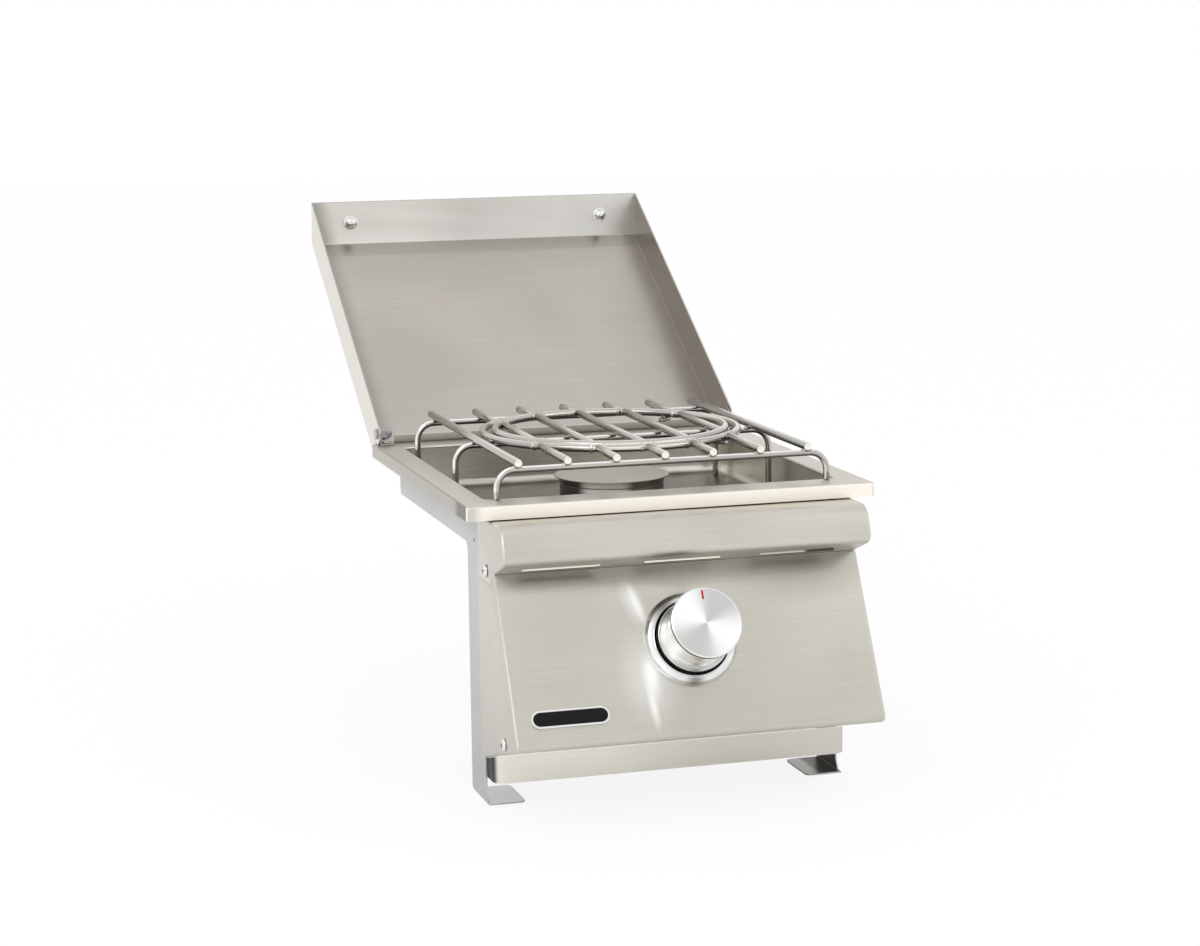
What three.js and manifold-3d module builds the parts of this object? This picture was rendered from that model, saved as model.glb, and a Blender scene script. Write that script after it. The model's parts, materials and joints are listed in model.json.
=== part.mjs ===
// Built-in gas side burner: a rim and pan, a rod grate, a hinged lid and a control box in front.
// Lengths are millimetres, +X is right, +Y is back and +Z is up.
// The origin is the centre of the counter cut-out, level with the counter top.
import * as THREE from 'three';
import { mergeVertices } from 'three/addons/utils/BufferGeometryUtils.js';
import Module from 'manifold-3d';

const wasm = await Module();
wasm.setup();

// Clearances and cutting
const seatGap = 0.3;
const cutOverrun = 20;
const weldSink = 0.4;

// Rim
const rimWidth = 330;
const rimDepth = 345;
const rimHeight = 11;
const rimSheet = 1.5;
const rimHem = 6.5;
const rimCornerRadius = 4;
const rimEdgeRadius = 2;
const openingEdgeRadius = 1;
const sideFlange = 22;
const endFlange = 30;
const openingCornerRadius = 7;

// Burner pan
const panSheet = 1.2;
const panDepth = 26;
const panBend = 7;
const panFlange = 9;
const panLeastCorner = 1;

// Side plates, legs and feet
const sideSheet = 1.2;
const sideRearReach = 4.5;
const shallowDepth = 29.7;
const legRearInset = 77.5;
const legFrontInset = 32.5;
const legFillet = 7;
const footBelowApron = 20;
const footReach = 29.5;
const footRearInset = 72.5;
const footFrontInset = 23;
const footCorner = 5;
const toeHeight = 9;
const plateInset = 4;
const pilotRadius = 1.6;
const pilotInset = 55.7;
const pilotDrop = 24.4;

// Header and control panel
const housingSheet = 1;
const housingEdge = 2.5;
const cheekInset = 38.5;
const headerDrop = 0.8;
const headerTopReach = 29.4;
const headerTopRadius = 14;
const headerNoseReach = 40.5;
const headerNoseDrop = 27.1;
const headerNoseRadius = 8;
const creaseReach = 4.9;
const creaseDrop = 40.1;
const seamDrop = 9;
const slotLength = 61;
const slotHeight = 3;
const slotInset = 52;
const slotRise = 14.7;
const panelLean = THREE.MathUtils.degToRad(28.2);
const panelLength = 139;
const panelNoseRadius = 5;
const returnSlope = THREE.MathUtils.degToRad(15.4);
const returnLength = 103.8;

// Side screws of the control box
const screwHeadRadius = 5;
const screwHeadHeight = 2.3;
const screwRadius = 2.4;
const screwLength = 9;
const upperScrewSetback = 18.9;
const lowerScrewSetback = 37.7;
const lowerScrewRise = 8;

// Lower apron
const apronSheet = 1;
const apronInset = 9.5;
const apronHeight = 22.54;
const apronReturn = 38;
const apronCorner = 9;
const apronFlange = 18;

// Knob, bezel and badge
const knobDrop = 62;
const knobFaceRadius = 27.5;
const knobHeight = 46;
const knobWaistRadius = 26;
const knobFootRadius = 27.6;
const knobFootHeight = 5.4;
const knobFaceBevel = 0.9;
const shroudInnerRadius = 26.3;
const shroudOuterRadius = 28.6;
const shroudHeight = 3;
const bezelRadius = 37;
const bezelMouthRadius = 29.1;
const bezelHeight = 6.6;
const bezelSheet = 1.5;
const pointerLength = 6.4;
const pointerWidth = 1.1;
const pointerDepth = 0.6;
const pointerStart = 18.6;
const badgeInset = 44;
const badgeRise = 24;
const badgeLength = 61;
const badgeWidth = 13.7;
const badgeRim = 1.4;
const badgeHeight = 2;
const badgeFaceHeight = 1.5;

// Gas valve
const stemRadius = 3;
const stemKeyDepth = 22;
const stemFootRadius = 4.6;
const stemFootLength = 4;
const sleeveRadius = 5;
const sleeveLength = 10;
const sleeveDepth = 4;
const neckRadius = 7;
const neckRise = 2;
const valveWidth = 26;
const valveLength = 34;
const valveDepth = 30;
const valveBoreDepth = 25;
const bracketSheet = 2;
const bracketWidth = 64;
const bracketLength = 40;
const bracketShift = 8;

// Gas path
const pipeRadius = 5;
const pipeBore = 3;
const pipeBend = 10;
const portDepth = 22;
const gasLineDrop = 56;
const jetInset = 33;
const jetHexRadius = 6.5;
const jetHexLength = 6;
const jetBodyRadius = 5;
const jetBodyLength = 6;
const jetTipRadius = 2.6;
const jetTipLength = 3;
const manifoldSideInset = 26.5;
const manifoldFrontInset = 68.5;
const fittingRadius = 8;
const fittingHexLength = 10;
const fittingTailRadius = 6.5;
const fittingTailLength = 12;
const fittingBore = 4;

// Burner and mixing tube
const burnerSetback = 3;
const burnerRadius = 43;
const burnerWall = 3.5;
const burnerTopDrop = 4.6;
const burnerFootRadius = 46;
const burnerFootHeight = 4;
const burnerBase = 4;
const burnerNeckRadius = 17;
const burnerNeckDrop = 34;
const portWidth = 2.4;
const portHeight = 2.6;
const portPairs = 12;
const capRadius = 47.5;
const capSkirt = 5.2;
const capHeight = 6.7;
const capEdge = 1.6;
const capCrownInset = 4;
const capSpigot = 3;
const clampRadius = 28;
const clampSheet = 2;
const venturiRadius = 13;
const venturiWall = 1.5;
const venturiBend = 22;
const venturiInset = 60.5;
const bellLength = 12;
const bellRadius = 17;
const shutterWall = 1;
const shutterLap = 10;
const shutterReach = 18;
const shutterWindow = 5;

// Heat shield
const shieldSheet = 1;
const shieldInset = 62.5;
const shieldTop = 45;
const shieldBottom = 150;
const shieldReturn = 12;

// Ignition
const igniterOffset = 15;
const igniterBack = 48.5;
const ceramicRadius = 3.2;
const ceramicTop = 9;
const ceramicDrop = 34;
const wireRadius = 0.8;
const wireTop = 4;
const igniterPlate = 1;
const igniterPlateSize = 16;
const piezoRadius = 8;
const piezoLength = 36;
const piezoTipRadius = 4;
const piezoTipLength = 3.6;
const piezoShoulder = 5.4;
const piezoOffset = 28;
const leadRadius = 1.5;
const leadBend = 6;
const leadRun = 12;
const leadSide = 34;
const leadDrop = 94;
const leadDip = 10;
const clipWall = 1.2;
const clipLength = 6;
const clipBack = 10;
const clipTab = 9;

// Lid
const lidSideInset = 3.65;
const lidSheet = 1.2;
const lidTop = 27.3;
const lidFrontInset = 4.5;
const lidSlopeReach = 19.1;
const lidSideBend = 2.5;
const lidFoldBend = 2.5;
const lidRearBend = 6;
const lidLobe = 9.4;
const rearFlangeEnd = 3.3;
const rearFlangeInset = 16.35;
const hingeInset = 7.5;
const lidOpenAngle = THREE.MathUtils.degToRad(148.06);

// Lid handle
const handleBarRadius = 6.35;
const handlePostRadius = 5.5;
const handlePostInset = 37.35;
const handleOverhang = 22;
const handleStandoff = 35;
const handleNutSlope = 21.5;
const handleNutRadius = 6.8;
const handleNutHeight = 6.5;
const handleStudRadius = 2.4;
const handleStudLength = 8;

// Hinges
const hingeSheet = 1.5;
const hingePlateRadius = 7.5;
const hingeFoot = 12.8;
const hingePinRadius = 3;
const hingeHeadRadius = 5.5;
const hingeHeadHeight = 3.4;
const hingeNutRadius = 5.6;
const hingeNutHex = 5;
const hingeNutDome = 4.8;
const hingeDomeRadius = 4.8;
const hingeNutBore = 6.5;
const rivetRadius = 1.9;
const rivetHeadRadius = 3.2;
const rivetHeadHeight = 1.4;
const rivetInset = 5;
const rivetLength = 5;

// Grate and round insert
const rodRadius = 3.2;
const rodInset = 25.4;
const rodsEachSide = 3;
const rodHeight = 38.5;
const rodFrontInset = 22.8;
const rodRearInset = 27.7;
const ringInset = 38;
const ringSpacing = 10.4;
const insertHeight = 40;
const supportRadius = 2.5;
const supportBend = 14;
const supportInset = 8.7;
const frontSupportInset = 26.5;
const middleSupport = 12;
const rearSupportInset = 47.5;
const pegRadius = 2.2;
const pegInnerReach = 3.6;
const pegOuterReach = 2;

// Profiles, as shares of a radius, a height or a width
const domeShares = [[1, 0], [1, 0.35], [0.75, 0.8], [0, 1]];
const bezelHeightShares = [0.35, 0.8, 0.95];
const knobHeightShares = [0.08, 0.35, 0.75, 0.88, 0.94];
const fullRoundShare = 0.999;

// Facets
const arcStep = THREE.MathUtils.degToRad(22.5);
const ringArcSteps = 5;
const hexSides = 6;
const roundSides = 20;
const wideSides = 32;
const rodSides = 10;
const wireSides = 8;
const ringSides = 44;

// Places worked out from the sizes above
const openingHalfX = rimWidth / 2 - sideFlange;
const openingHalfY = rimDepth / 2 - endFlange;
const panFlangeTop = rimHeight - rimSheet - seatGap;
const panWallX = openingHalfX + panSheet;
const plateInner = panWallX + seatGap;
const plateOuter = plateInner + sideSheet;
const plateFlangeTop = panFlangeTop - panSheet - seatGap;
const panUnderside = panDepth + panSheet;
const housingWidth = 2 * (plateOuter + seatGap + housingSheet);
const headerTop = -headerDrop;
const crease = [-(rimDepth / 2 + creaseReach), headerTop - creaseDrop];
const panelNose = panelPoint(panelLength, 0);
const slotPitch = housingWidth / 2 - slotInset;
const badgeOffset = housingWidth / 2 - badgeInset;
const cheekRear = rimDepth / 2 - cheekInset;
const legRear = rimDepth / 2 - legRearInset;
const legFront = rimDepth / 2 - legFrontInset;
const footRear = rimDepth / 2 - footRearInset;
const footFront = rimDepth / 2 - footFrontInset;
const badgeDrop = panelLength - badgeRise;
const apronSetback = rimDepth / 2 - apronInset;
const apronDrop = apronHeight - returnHeight(-apronSetback, 0);
const footDrop = apronDrop + footBelowApron;
const shieldSetback = rimDepth / 2 - shieldInset;
const jetStart = rimDepth / 2 - jetInset;
const venturiEnd = rimDepth / 2 - venturiInset;
const manifoldReach = plateInner - manifoldSideInset;
const manifoldEnd = rimDepth / 2 - manifoldFrontInset;
const burnerBottom = panDepth - seatGap;
const lidWidth = rimWidth - 2 * lidSideInset;
const hingeBack = rimDepth / 2 - hingeInset;
const hingeHeight = rimHeight + seatGap + lidLobe;
const lidTip = hingeBack + rimDepth / 2 - lidFrontInset;
const lidFold = lidTip - lidSlopeReach;
const handlePostReach = lidWidth / 2 - handlePostInset;
const rodPitch = (openingHalfX - rodInset) / rodsEachSide;
const rodFront = rimDepth / 2 - rodFrontInset;
const rodBack = rimDepth / 2 - rodRearInset;
const outerRingRadius = openingHalfX - ringInset;
const insertRingRadius = outerRingRadius - ringSpacing;
const supportSpread = openingHalfX - supportInset;
const frontSupport = rimDepth / 2 - frontSupportInset;
const rearSupport = rimDepth / 2 - rearSupportInset;

// Place at a distance down the panel from its crease and a depth behind its outer face
function panelPoint(down, depth) {
  const back = crease[0] - down * Math.sin(panelLean) + depth * Math.cos(panelLean);
  const up = crease[1] - down * Math.cos(panelLean) - depth * Math.sin(panelLean);
  return [back, up];
}

// Height of a line parallel to the panel's bottom return, raised square to it
function returnHeight(back, lift) {
  const run = back - panelNose[0];
  return panelNose[1] - run * Math.tan(returnSlope) + lift / Math.cos(returnSlope);
}

// Solids

function toSolid(geometry) {
  const bare = geometry.clone();
  bare.deleteAttribute('normal');
  bare.deleteAttribute('uv');
  const merged = mergeVertices(bare);
  const index = merged.index.array;
  const triangles = [];
  for (let i = 0; i < index.length; i += 3) {
    const [a, b, c] = index.slice(i, i + 3);
    if (a !== b && b !== c && c !== a) {
      triangles.push(a, b, c);
    }
  }
  const mesh = new wasm.Mesh({
    numProp: 3,
    vertProperties: new Float32Array(merged.attributes.position.array),
    triVerts: new Uint32Array(triangles),
  });
  return new wasm.Manifold(mesh);
}

function toGeometry(solid) {
  const mesh = solid.getMesh();
  const indexed = new THREE.BufferGeometry();
  indexed.setAttribute('position', new THREE.BufferAttribute(mesh.vertProperties, mesh.numProp));
  indexed.setIndex(new THREE.BufferAttribute(mesh.triVerts, 1));
  const geometry = indexed.toNonIndexed();
  geometry.computeVertexNormals();
  return geometry;
}

function join(...solids) {
  return solids.reduce((whole, solid) => whole.add(solid));
}

function cut(solid, ...tools) {
  return tools.reduce((rest, tool) => rest.subtract(tool), solid);
}

// Outlines

function filleted(corners) {
  const points = [];
  corners.forEach(([across, along, radius = 0], i) => {
    const here = new THREE.Vector2(across, along);
    if (radius === 0) {
      points.push(here);
      return;
    }
    const before = corners[(i + corners.length - 1) % corners.length];
    const after = corners[(i + 1) % corners.length];
    const back = new THREE.Vector2(before[0], before[1]).sub(here).normalize();
    const ahead = new THREE.Vector2(after[0], after[1]).sub(here).normalize();
    const half = Math.acos(back.dot(ahead)) / 2;
    const inward = back.clone().add(ahead).normalize();
    const centre = here.clone().addScaledVector(inward, radius / Math.sin(half));
    const start = here.clone().addScaledVector(back, radius / Math.tan(half)).sub(centre);
    const end = here.clone().addScaledVector(ahead, radius / Math.tan(half)).sub(centre);
    const turn = Math.atan2(start.cross(end), start.dot(end));
    const steps = Math.ceil(Math.abs(turn) / arcStep);
    for (let k = 0; k <= steps; k += 1) {
      const spoke = start.clone().rotateAround(new THREE.Vector2(), turn * k / steps);
      points.push(spoke.add(centre));
    }
  });
  return points;
}

// Moves every side of a closed outline inward by the same distance
function insetOutline(points, distance) {
  const side = Math.sign(THREE.ShapeUtils.area(points));
  return points.map((here, i) => {
    const before = points[(i + points.length - 1) % points.length];
    const after = points[(i + 1) % points.length];
    const first = here.clone().sub(before).normalize();
    const second = after.clone().sub(here).normalize();
    const firstNormal = new THREE.Vector2(-first.y, first.x);
    const secondNormal = new THREE.Vector2(-second.y, second.x);
    const miter = firstNormal.clone().add(secondNormal).normalize();
    return here.clone().addScaledVector(miter, side * distance / miter.dot(firstNormal));
  });
}

function circlePoints(radius, sides) {
  const points = [];
  for (let k = 0; k < sides; k += 1) {
    const angle = 2 * Math.PI * k / sides;
    points.push(new THREE.Vector2(radius * Math.cos(angle), radius * Math.sin(angle)));
  }
  return points;
}

// Extruded, turned and swept bodies

function block(from, to) {
  const low = new THREE.Vector3(...from);
  const high = new THREE.Vector3(...to);
  const size = high.clone().sub(low);
  const middle = low.clone().add(high).multiplyScalar(0.5);
  const geometry = new THREE.BoxGeometry(size.x, size.y, size.z);
  return toSolid(geometry.translate(middle.x, middle.y, middle.z));
}

// Plate of an outline in the YZ plane, from one X to a greater one
function plateAcross(points, fromX, toX) {
  const settings = { depth: toX - fromX, bevelEnabled: false };
  const geometry = new THREE.ExtrudeGeometry(new THREE.Shape(points), settings);
  const turn = new THREE.Matrix4().makeBasis(
    new THREE.Vector3(0, 1, 0),
    new THREE.Vector3(0, 0, 1),
    new THREE.Vector3(1, 0, 0),
  );
  return toSolid(geometry.applyMatrix4(turn).translate(fromX, 0, 0));
}

// The same between equal distances left and right, with rounded end edges
function roundedAcross(points, halfWidth, edge) {
  const settings = {
    depth: 2 * (halfWidth - edge),
    bevelThickness: edge,
    bevelSize: edge,
    bevelOffset: -edge,
    bevelSegments: 3,
  };
  const geometry = new THREE.ExtrudeGeometry(new THREE.Shape(points), settings);
  const turn = new THREE.Matrix4().makeBasis(
    new THREE.Vector3(0, 1, 0),
    new THREE.Vector3(0, 0, 1),
    new THREE.Vector3(1, 0, 0),
  );
  return toSolid(geometry.applyMatrix4(turn).translate(edge - halfWidth, 0, 0));
}

// Plate of an outline in the XZ plane, from one Y to a greater one
function plateBack(points, fromY, toY) {
  const settings = { depth: toY - fromY, bevelEnabled: false };
  const geometry = new THREE.ExtrudeGeometry(new THREE.Shape(points), settings);
  return toSolid(geometry.rotateX(Math.PI / 2).translate(0, toY, 0));
}

// Plate of an outline in the XY plane, from one Z to a greater one
function plateUp(points, fromZ, toZ, hole) {
  const shape = new THREE.Shape(points);
  if (hole) {
    shape.holes.push(new THREE.Path(hole));
  }
  const geometry = new THREE.ExtrudeGeometry(shape, { depth: toZ - fromZ, bevelEnabled: false });
  return toSolid(geometry.translate(0, 0, fromZ));
}

// Body turned about an axis, from its half section of [radius, height] points
function turned(profile, sides, origin = [0, 0, 0], direction = [0, 0, 1]) {
  const points = profile.map(([radius, height]) => new THREE.Vector2(radius, height));
  if (profile[0][0] > 0) {
    points.push(points[0].clone());
  }
  const geometry = new THREE.LatheGeometry(points, sides);
  const axis = new THREE.Vector3(...direction).normalize();
  const turn = new THREE.Quaternion().setFromUnitVectors(new THREE.Vector3(0, 1, 0), axis);
  return toSolid(geometry.applyQuaternion(turn).translate(...origin));
}

// Outer half section of a domed head that stands on a height, a negative rise turning it over
function dome(radius, seat, rise) {
  return domeShares.map(([across, along]) => [radius * across, seat + rise * along]);
}

function rod(from, to, radius, sides) {
  const start = new THREE.Vector3(...from);
  const run = new THREE.Vector3(...to).sub(start);
  const profile = [[0, 0], [radius, 0], [radius, run.length()], [0, run.length()]];
  return turned(profile, sides, from, run.toArray());
}

function wireRing(radius, height) {
  const geometry = new THREE.TorusGeometry(radius, rodRadius, wireSides, ringSides);
  return toSolid(geometry.translate(0, 0, height));
}

// Path of straight runs and round bends, with one point at each end of a straight run
class BentPath extends THREE.Curve {
  constructor(corners, bend) {
    super();
    const places = corners.map((corner) => new THREE.Vector3(...corner));
    const last = places.length - 1;
    this.places = [places[0]];
    this.directions = [places[1].clone().sub(places[0]).normalize()];
    for (let i = 1; i < last; i += 1) {
      this.addBend(places[i - 1], places[i], places[i + 1], bend);
    }
    this.places.push(places[last]);
    this.directions.push(places[last].clone().sub(places[last - 1]).normalize());
  }

  addBend(before, here, after, bend) {
    const arriving = here.clone().sub(before).normalize();
    const leaving = after.clone().sub(here).normalize();
    const turn = Math.acos(arriving.dot(leaving));
    const axis = arriving.clone().cross(leaving).normalize();
    const start = here.clone().addScaledVector(arriving, -bend * Math.tan(turn / 2));
    const outward = arriving.clone().cross(axis);
    const centre = start.clone().addScaledVector(outward, -bend);
    const steps = Math.ceil(turn / arcStep);
    for (let k = 0; k <= steps; k += 1) {
      const angle = turn * k / steps;
      const spoke = outward.clone().applyAxisAngle(axis, angle);
      this.places.push(spoke.multiplyScalar(bend).add(centre));
      this.directions.push(arriving.clone().applyAxisAngle(axis, angle));
    }
  }

  get steps() {
    return this.places.length - 1;
  }

  getPointAt(share) {
    return this.places[Math.round(share * this.steps)].clone();
  }

  getTangentAt(share) {
    return this.directions[Math.round(share * this.steps)].clone();
  }
}

function pipe(corners, bend, radius, bore, sides) {
  const path = new BentPath(corners, bend);
  const section = new THREE.Shape(circlePoints(radius, sides));
  if (bore > 0) {
    section.holes.push(new THREE.Path(circlePoints(bore, sides)));
  }
  const settings = { extrudePath: path, steps: path.steps };
  return toSolid(new THREE.ExtrudeGeometry(section, settings));
}

// Rounded rectangle at one height, counter-clockwise from above
function ringAt(halfX, halfY, radius, height) {
  const points = [];
  for (let quarter = 0; quarter < 4; quarter += 1) {
    const signX = quarter === 0 || quarter === 3 ? 1 : -1;
    const signY = quarter < 2 ? 1 : -1;
    for (let k = 0; k <= ringArcSteps; k += 1) {
      const angle = (quarter + k / ringArcSteps) * Math.PI / 2;
      const x = signX * (halfX - radius) + radius * Math.cos(angle);
      const y = signY * (halfY - radius) + radius * Math.sin(angle);
      points.push(new THREE.Vector3(x, y, height));
    }
  }
  return points;
}

function openingRing(offset, height) {
  const radius = Math.max(openingCornerRadius + offset, panLeastCorner);
  return ringAt(openingHalfX + offset, openingHalfY + offset, radius, height);
}

// Skin through a row of rings, either closed on itself or capped at both ends
function loft(rings, closed) {
  const count = rings[0].length;
  const positions = rings.flat().flatMap((point) => point.toArray());
  const index = [];
  const bands = closed ? rings.length : rings.length - 1;
  for (let band = 0; band < bands; band += 1) {
    const lower = band * count;
    const upper = ((band + 1) % rings.length) * count;
    for (let k = 0; k < count; k += 1) {
      const next = (k + 1) % count;
      index.push(lower + k, lower + next, upper + next);
      index.push(lower + k, upper + next, upper + k);
    }
  }
  if (!closed) {
    const top = (rings.length - 1) * count;
    for (let k = 1; k < count - 1; k += 1) {
      index.push(0, k + 1, k);
      index.push(top, top + k, top + k + 1);
    }
  }
  const geometry = new THREE.BufferGeometry();
  geometry.setAttribute('position', new THREE.Float32BufferAttribute(positions, 3));
  geometry.setIndex(index);
  return toSolid(geometry);
}

// Materials

function steel(color, roughness) {
  return new THREE.MeshStandardMaterial({ color, roughness, metalness: 1 });
}

function brushedSteel() {
  return steel(0xc9c5bd, 0.35);
}

function panSteel() {
  return steel(0x8f8a80, 0.4);
}

function rodSteel() {
  return steel(0xa8a5a0, 0.25);
}

function chrome() {
  return steel(0xe4e4e2, 0.08);
}

function zincPlate() {
  return steel(0xb4b6b4, 0.4);
}

function castAluminium() {
  return steel(0xa7a49d, 0.55);
}

function brass() {
  return steel(0xb8994f, 0.35);
}

function blackPlastic() {
  return new THREE.MeshStandardMaterial({ color: 0x141414, roughness: 0.3, metalness: 0 });
}

function ceramic() {
  return new THREE.MeshStandardMaterial({ color: 0xe9e4d8, roughness: 0.5, metalness: 0 });
}

function redPaint() {
  return new THREE.MeshStandardMaterial({ color: 0xb01f2c, roughness: 0.45, metalness: 0 });
}

function piece(name, solid, material) {
  const mesh = new THREE.Mesh(toGeometry(solid), material);
  mesh.name = name;
  return mesh;
}

// Rim and pan

function topRim() {
  const outerX = rimWidth / 2;
  const outerY = rimDepth / 2;
  const rings = [ringAt(outerX, outerY, rimCornerRadius, 0)];
  const arcSteps = Math.ceil(Math.PI / 2 / arcStep);
  for (let k = 0; k <= arcSteps; k += 1) {
    const angle = k / arcSteps * Math.PI / 2;
    const inset = rimEdgeRadius * (1 - Math.cos(angle));
    const height = rimHeight - rimEdgeRadius * (1 - Math.sin(angle));
    rings.push(ringAt(outerX - inset, outerY - inset, rimCornerRadius - inset, height));
  }
  rings.push(openingRing(openingEdgeRadius, rimHeight));
  rings.push(openingRing(0, rimHeight - openingEdgeRadius));
  rings.push(openingRing(0, rimHeight - rimSheet));
  const skirtRadius = rimCornerRadius - rimSheet;
  const skirtX = outerX - rimSheet;
  const skirtY = outerY - rimSheet;
  rings.push(ringAt(skirtX, skirtY, skirtRadius, rimHeight - rimSheet));
  rings.push(ringAt(skirtX, skirtY, skirtRadius, rimSheet));
  rings.push(ringAt(outerX - rimHem, outerY - rimHem, rimSheet, rimSheet));
  rings.push(ringAt(outerX - rimHem, outerY - rimHem, rimSheet, 0));
  const rivetHoles = [-1, 1].map((side) => {
    const x = side * (bracketOuter() - rivetInset);
    return rod([x, hingeBack, 0], [x, hingeBack, rimHeight + cutOverrun], rivetRadius + seatGap, wireSides);
  });
  return cut(loft(rings, true), ...rivetHoles);
}

function burnerPan() {
  const arcSteps = Math.ceil(Math.PI / 2 / arcStep);
  const bendRings = (thickness) => {
    const rings = [];
    for (let k = 0; k <= arcSteps; k += 1) {
      const angle = k / arcSteps * Math.PI / 2;
      const reach = panBend + thickness;
      const offset = reach * Math.sin(angle) - panBend;
      rings.push(openingRing(offset, panBend - panDepth - reach * Math.cos(angle)));
    }
    return rings;
  };
  const rings = [
    ...bendRings(panSheet),
    openingRing(panSheet, panFlangeTop - panSheet),
    openingRing(panFlange, panFlangeTop - panSheet),
    openingRing(panFlange, panFlangeTop),
    openingRing(0, panFlangeTop),
    ...bendRings(0).reverse(),
  ];
  const deep = -panUnderside - cutOverrun;
  const neckHole = rod(
    [0, -burnerSetback, deep],
    [0, -burnerSetback, 0],
    burnerNeckRadius + seatGap,
    roundSides,
  );
  const igniterHole = rod(
    [igniterOffset, igniterBack, deep],
    [igniterOffset, igniterBack, 0],
    ceramicRadius + seatGap,
    rodSides,
  );
  return cut(loft(rings, false), neckHole, igniterHole);
}

// Side plates

function screwPlaces() {
  const upper = [crease[0] + upperScrewSetback, crease[1]];
  const lowerBack = panelNose[0] + lowerScrewSetback;
  const lower = [lowerBack, returnHeight(lowerBack, lowerScrewRise)];
  return [upper, lower];
}

function screwHoles(side) {
  return screwPlaces().map(([back, up]) => {
    const inner = side * (plateInner - cutOverrun);
    const outer = side * (housingWidth / 2 + cutOverrun);
    return rod([inner, back, up], [outer, back, up], screwRadius + seatGap, wireSides);
  });
}

function sidePlate(side) {
  const rear = openingHalfY + sideRearReach;
  const front = -rear;
  const web = filleted([
    [rear, plateFlangeTop],
    [front, plateFlangeTop],
    [front, headerTop - housingSheet - plateInset],
    [-(rimDepth / 2 + headerTopReach / 2), headerTop - housingSheet - plateInset],
    panelPoint(0, plateInset + housingSheet),
    panelPoint(panelLength - panelNoseRadius - plateInset, plateInset + housingSheet),
    [panelNose[0] + plateInset * 3, returnHeight(panelNose[0] + plateInset * 3, plateInset)],
    [-legFront, returnHeight(-legFront, plateInset)],
    [-legFront, toeHeight - footDrop],
    [-footFront + footCorner, -footDrop + sideSheet],
    [-footFront + footCorner, -footDrop],
    [-legRear, -footDrop, footCorner],
    [-legRear, -shallowDepth, legFillet],
    [rear, -shallowDepth, footCorner],
  ]);
  const inner = Math.min(side * plateInner, side * plateOuter);
  const plate = plateAcross(web, inner, inner + sideSheet);
  const flangeEdge = openingHalfX + panFlange;
  const topFlange = block(
    [Math.min(side * plateInner, side * flangeEdge), front, plateFlangeTop - sideSheet],
    [Math.max(side * plateInner, side * flangeEdge), rear, plateFlangeTop],
  );
  const footInner = plateOuter - footReach;
  const foot = plateUp(filleted([
    [side * plateOuter, -footRear],
    [side * footInner, -footRear, footCorner],
    [side * footInner, -footFront, footCorner],
    [side * plateOuter, -footFront],
  ]), -footDrop, sideSheet - footDrop);
  const pilotHole = rod(
    [inner - cutOverrun, pilotInset - rimDepth / 2, -pilotDrop],
    [inner + cutOverrun, pilotInset - rimDepth / 2, -pilotDrop],
    pilotRadius,
    roundSides / 2,
  );
  return cut(join(plate, topFlange, foot), pilotHole, ...screwHoles(side));
}

// Header and control panel, formed as one hollow box and parted at the crease

function housingOutline() {
  const back = cutOverrun - cheekRear;
  return filleted([
    [back, headerTop],
    [-(rimDepth / 2 + headerTopReach), headerTop, headerTopRadius],
    [-(rimDepth / 2 + headerNoseReach), headerTop - headerNoseDrop, headerNoseRadius],
    crease,
    [...panelNose, panelNoseRadius],
    [back, returnHeight(back, 0)],
  ]);
}

function housing() {
  const outline = housingOutline();
  const outer = roundedAcross(outline, housingWidth / 2, housingEdge);
  const innerHalf = housingWidth / 2 - housingSheet;
  const hollow = plateAcross(insetOutline(outline, housingSheet), -innerHalf, innerHalf);
  const half = housingWidth / 2 + cutOverrun;
  const low = -footDrop;
  const rearCut = block([-half, -cheekRear, low], [half, 0, rimHeight]);
  const returnEnd = panelNose[0] + returnLength * Math.cos(returnSlope);
  const returnCut = block([-innerHalf, returnEnd, low], [innerHalf, 0, crease[1]]);
  const topEnd = -(openingHalfY + sideRearReach + seatGap);
  const topCut = block([-innerHalf, topEnd, crease[1]], [innerHalf, 0, rimHeight]);
  return cut(outer, hollow, rearCut, returnCut, topCut, ...screwHoles(-1), ...screwHoles(1));
}

// Everything above the seam that runs from the crease back along the cheeks
function aboveSeam(drop) {
  const far = rimDepth;
  const seamBack = crease[0] + seamDrop;
  const seamUp = crease[1] - seamDrop;
  const outline = [
    [crease[0], crease[1]],
    [crease[0] - far, crease[1] - seamDrop],
    [crease[0] - far, far],
    [0, far],
    [0, seamUp],
    [seamBack, seamUp],
  ].map(([back, up]) => new THREE.Vector2(back, up - drop));
  return plateAcross(outline, -rimWidth, rimWidth);
}

function headerSlots() {
  const toNose = new THREE.Vector2(
    crease[0] + rimDepth / 2 + headerNoseReach,
    crease[1] - headerTop + headerNoseDrop,
  ).normalize();
  const rise = slotRise + slotHeight / 2;
  const back = crease[0] - toNose.x * rise;
  const up = crease[1] - toNose.y * rise;
  return [-1, 0, 1].map((place) => {
    const geometry = new THREE.BoxGeometry(slotLength, slotHeight, cutOverrun / 2);
    geometry.rotateX(Math.atan2(-toNose.y, -toNose.x) + Math.PI);
    return toSolid(geometry.translate(place * slotPitch, back, up));
  });
}

function headerFascia(box) {
  return cut(box.intersect(aboveSeam(0)), ...headerSlots());
}

function controlPanel(box) {
  const [back, up] = panelPoint(knobDrop, cutOverrun);
  const [front, high] = panelPoint(knobDrop, -cutOverrun);
  const neckHole = rod([0, back, up], [0, front, high], neckRadius + seatGap, roundSides);
  return cut(box, aboveSeam(seatGap), neckHole);
}

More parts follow.
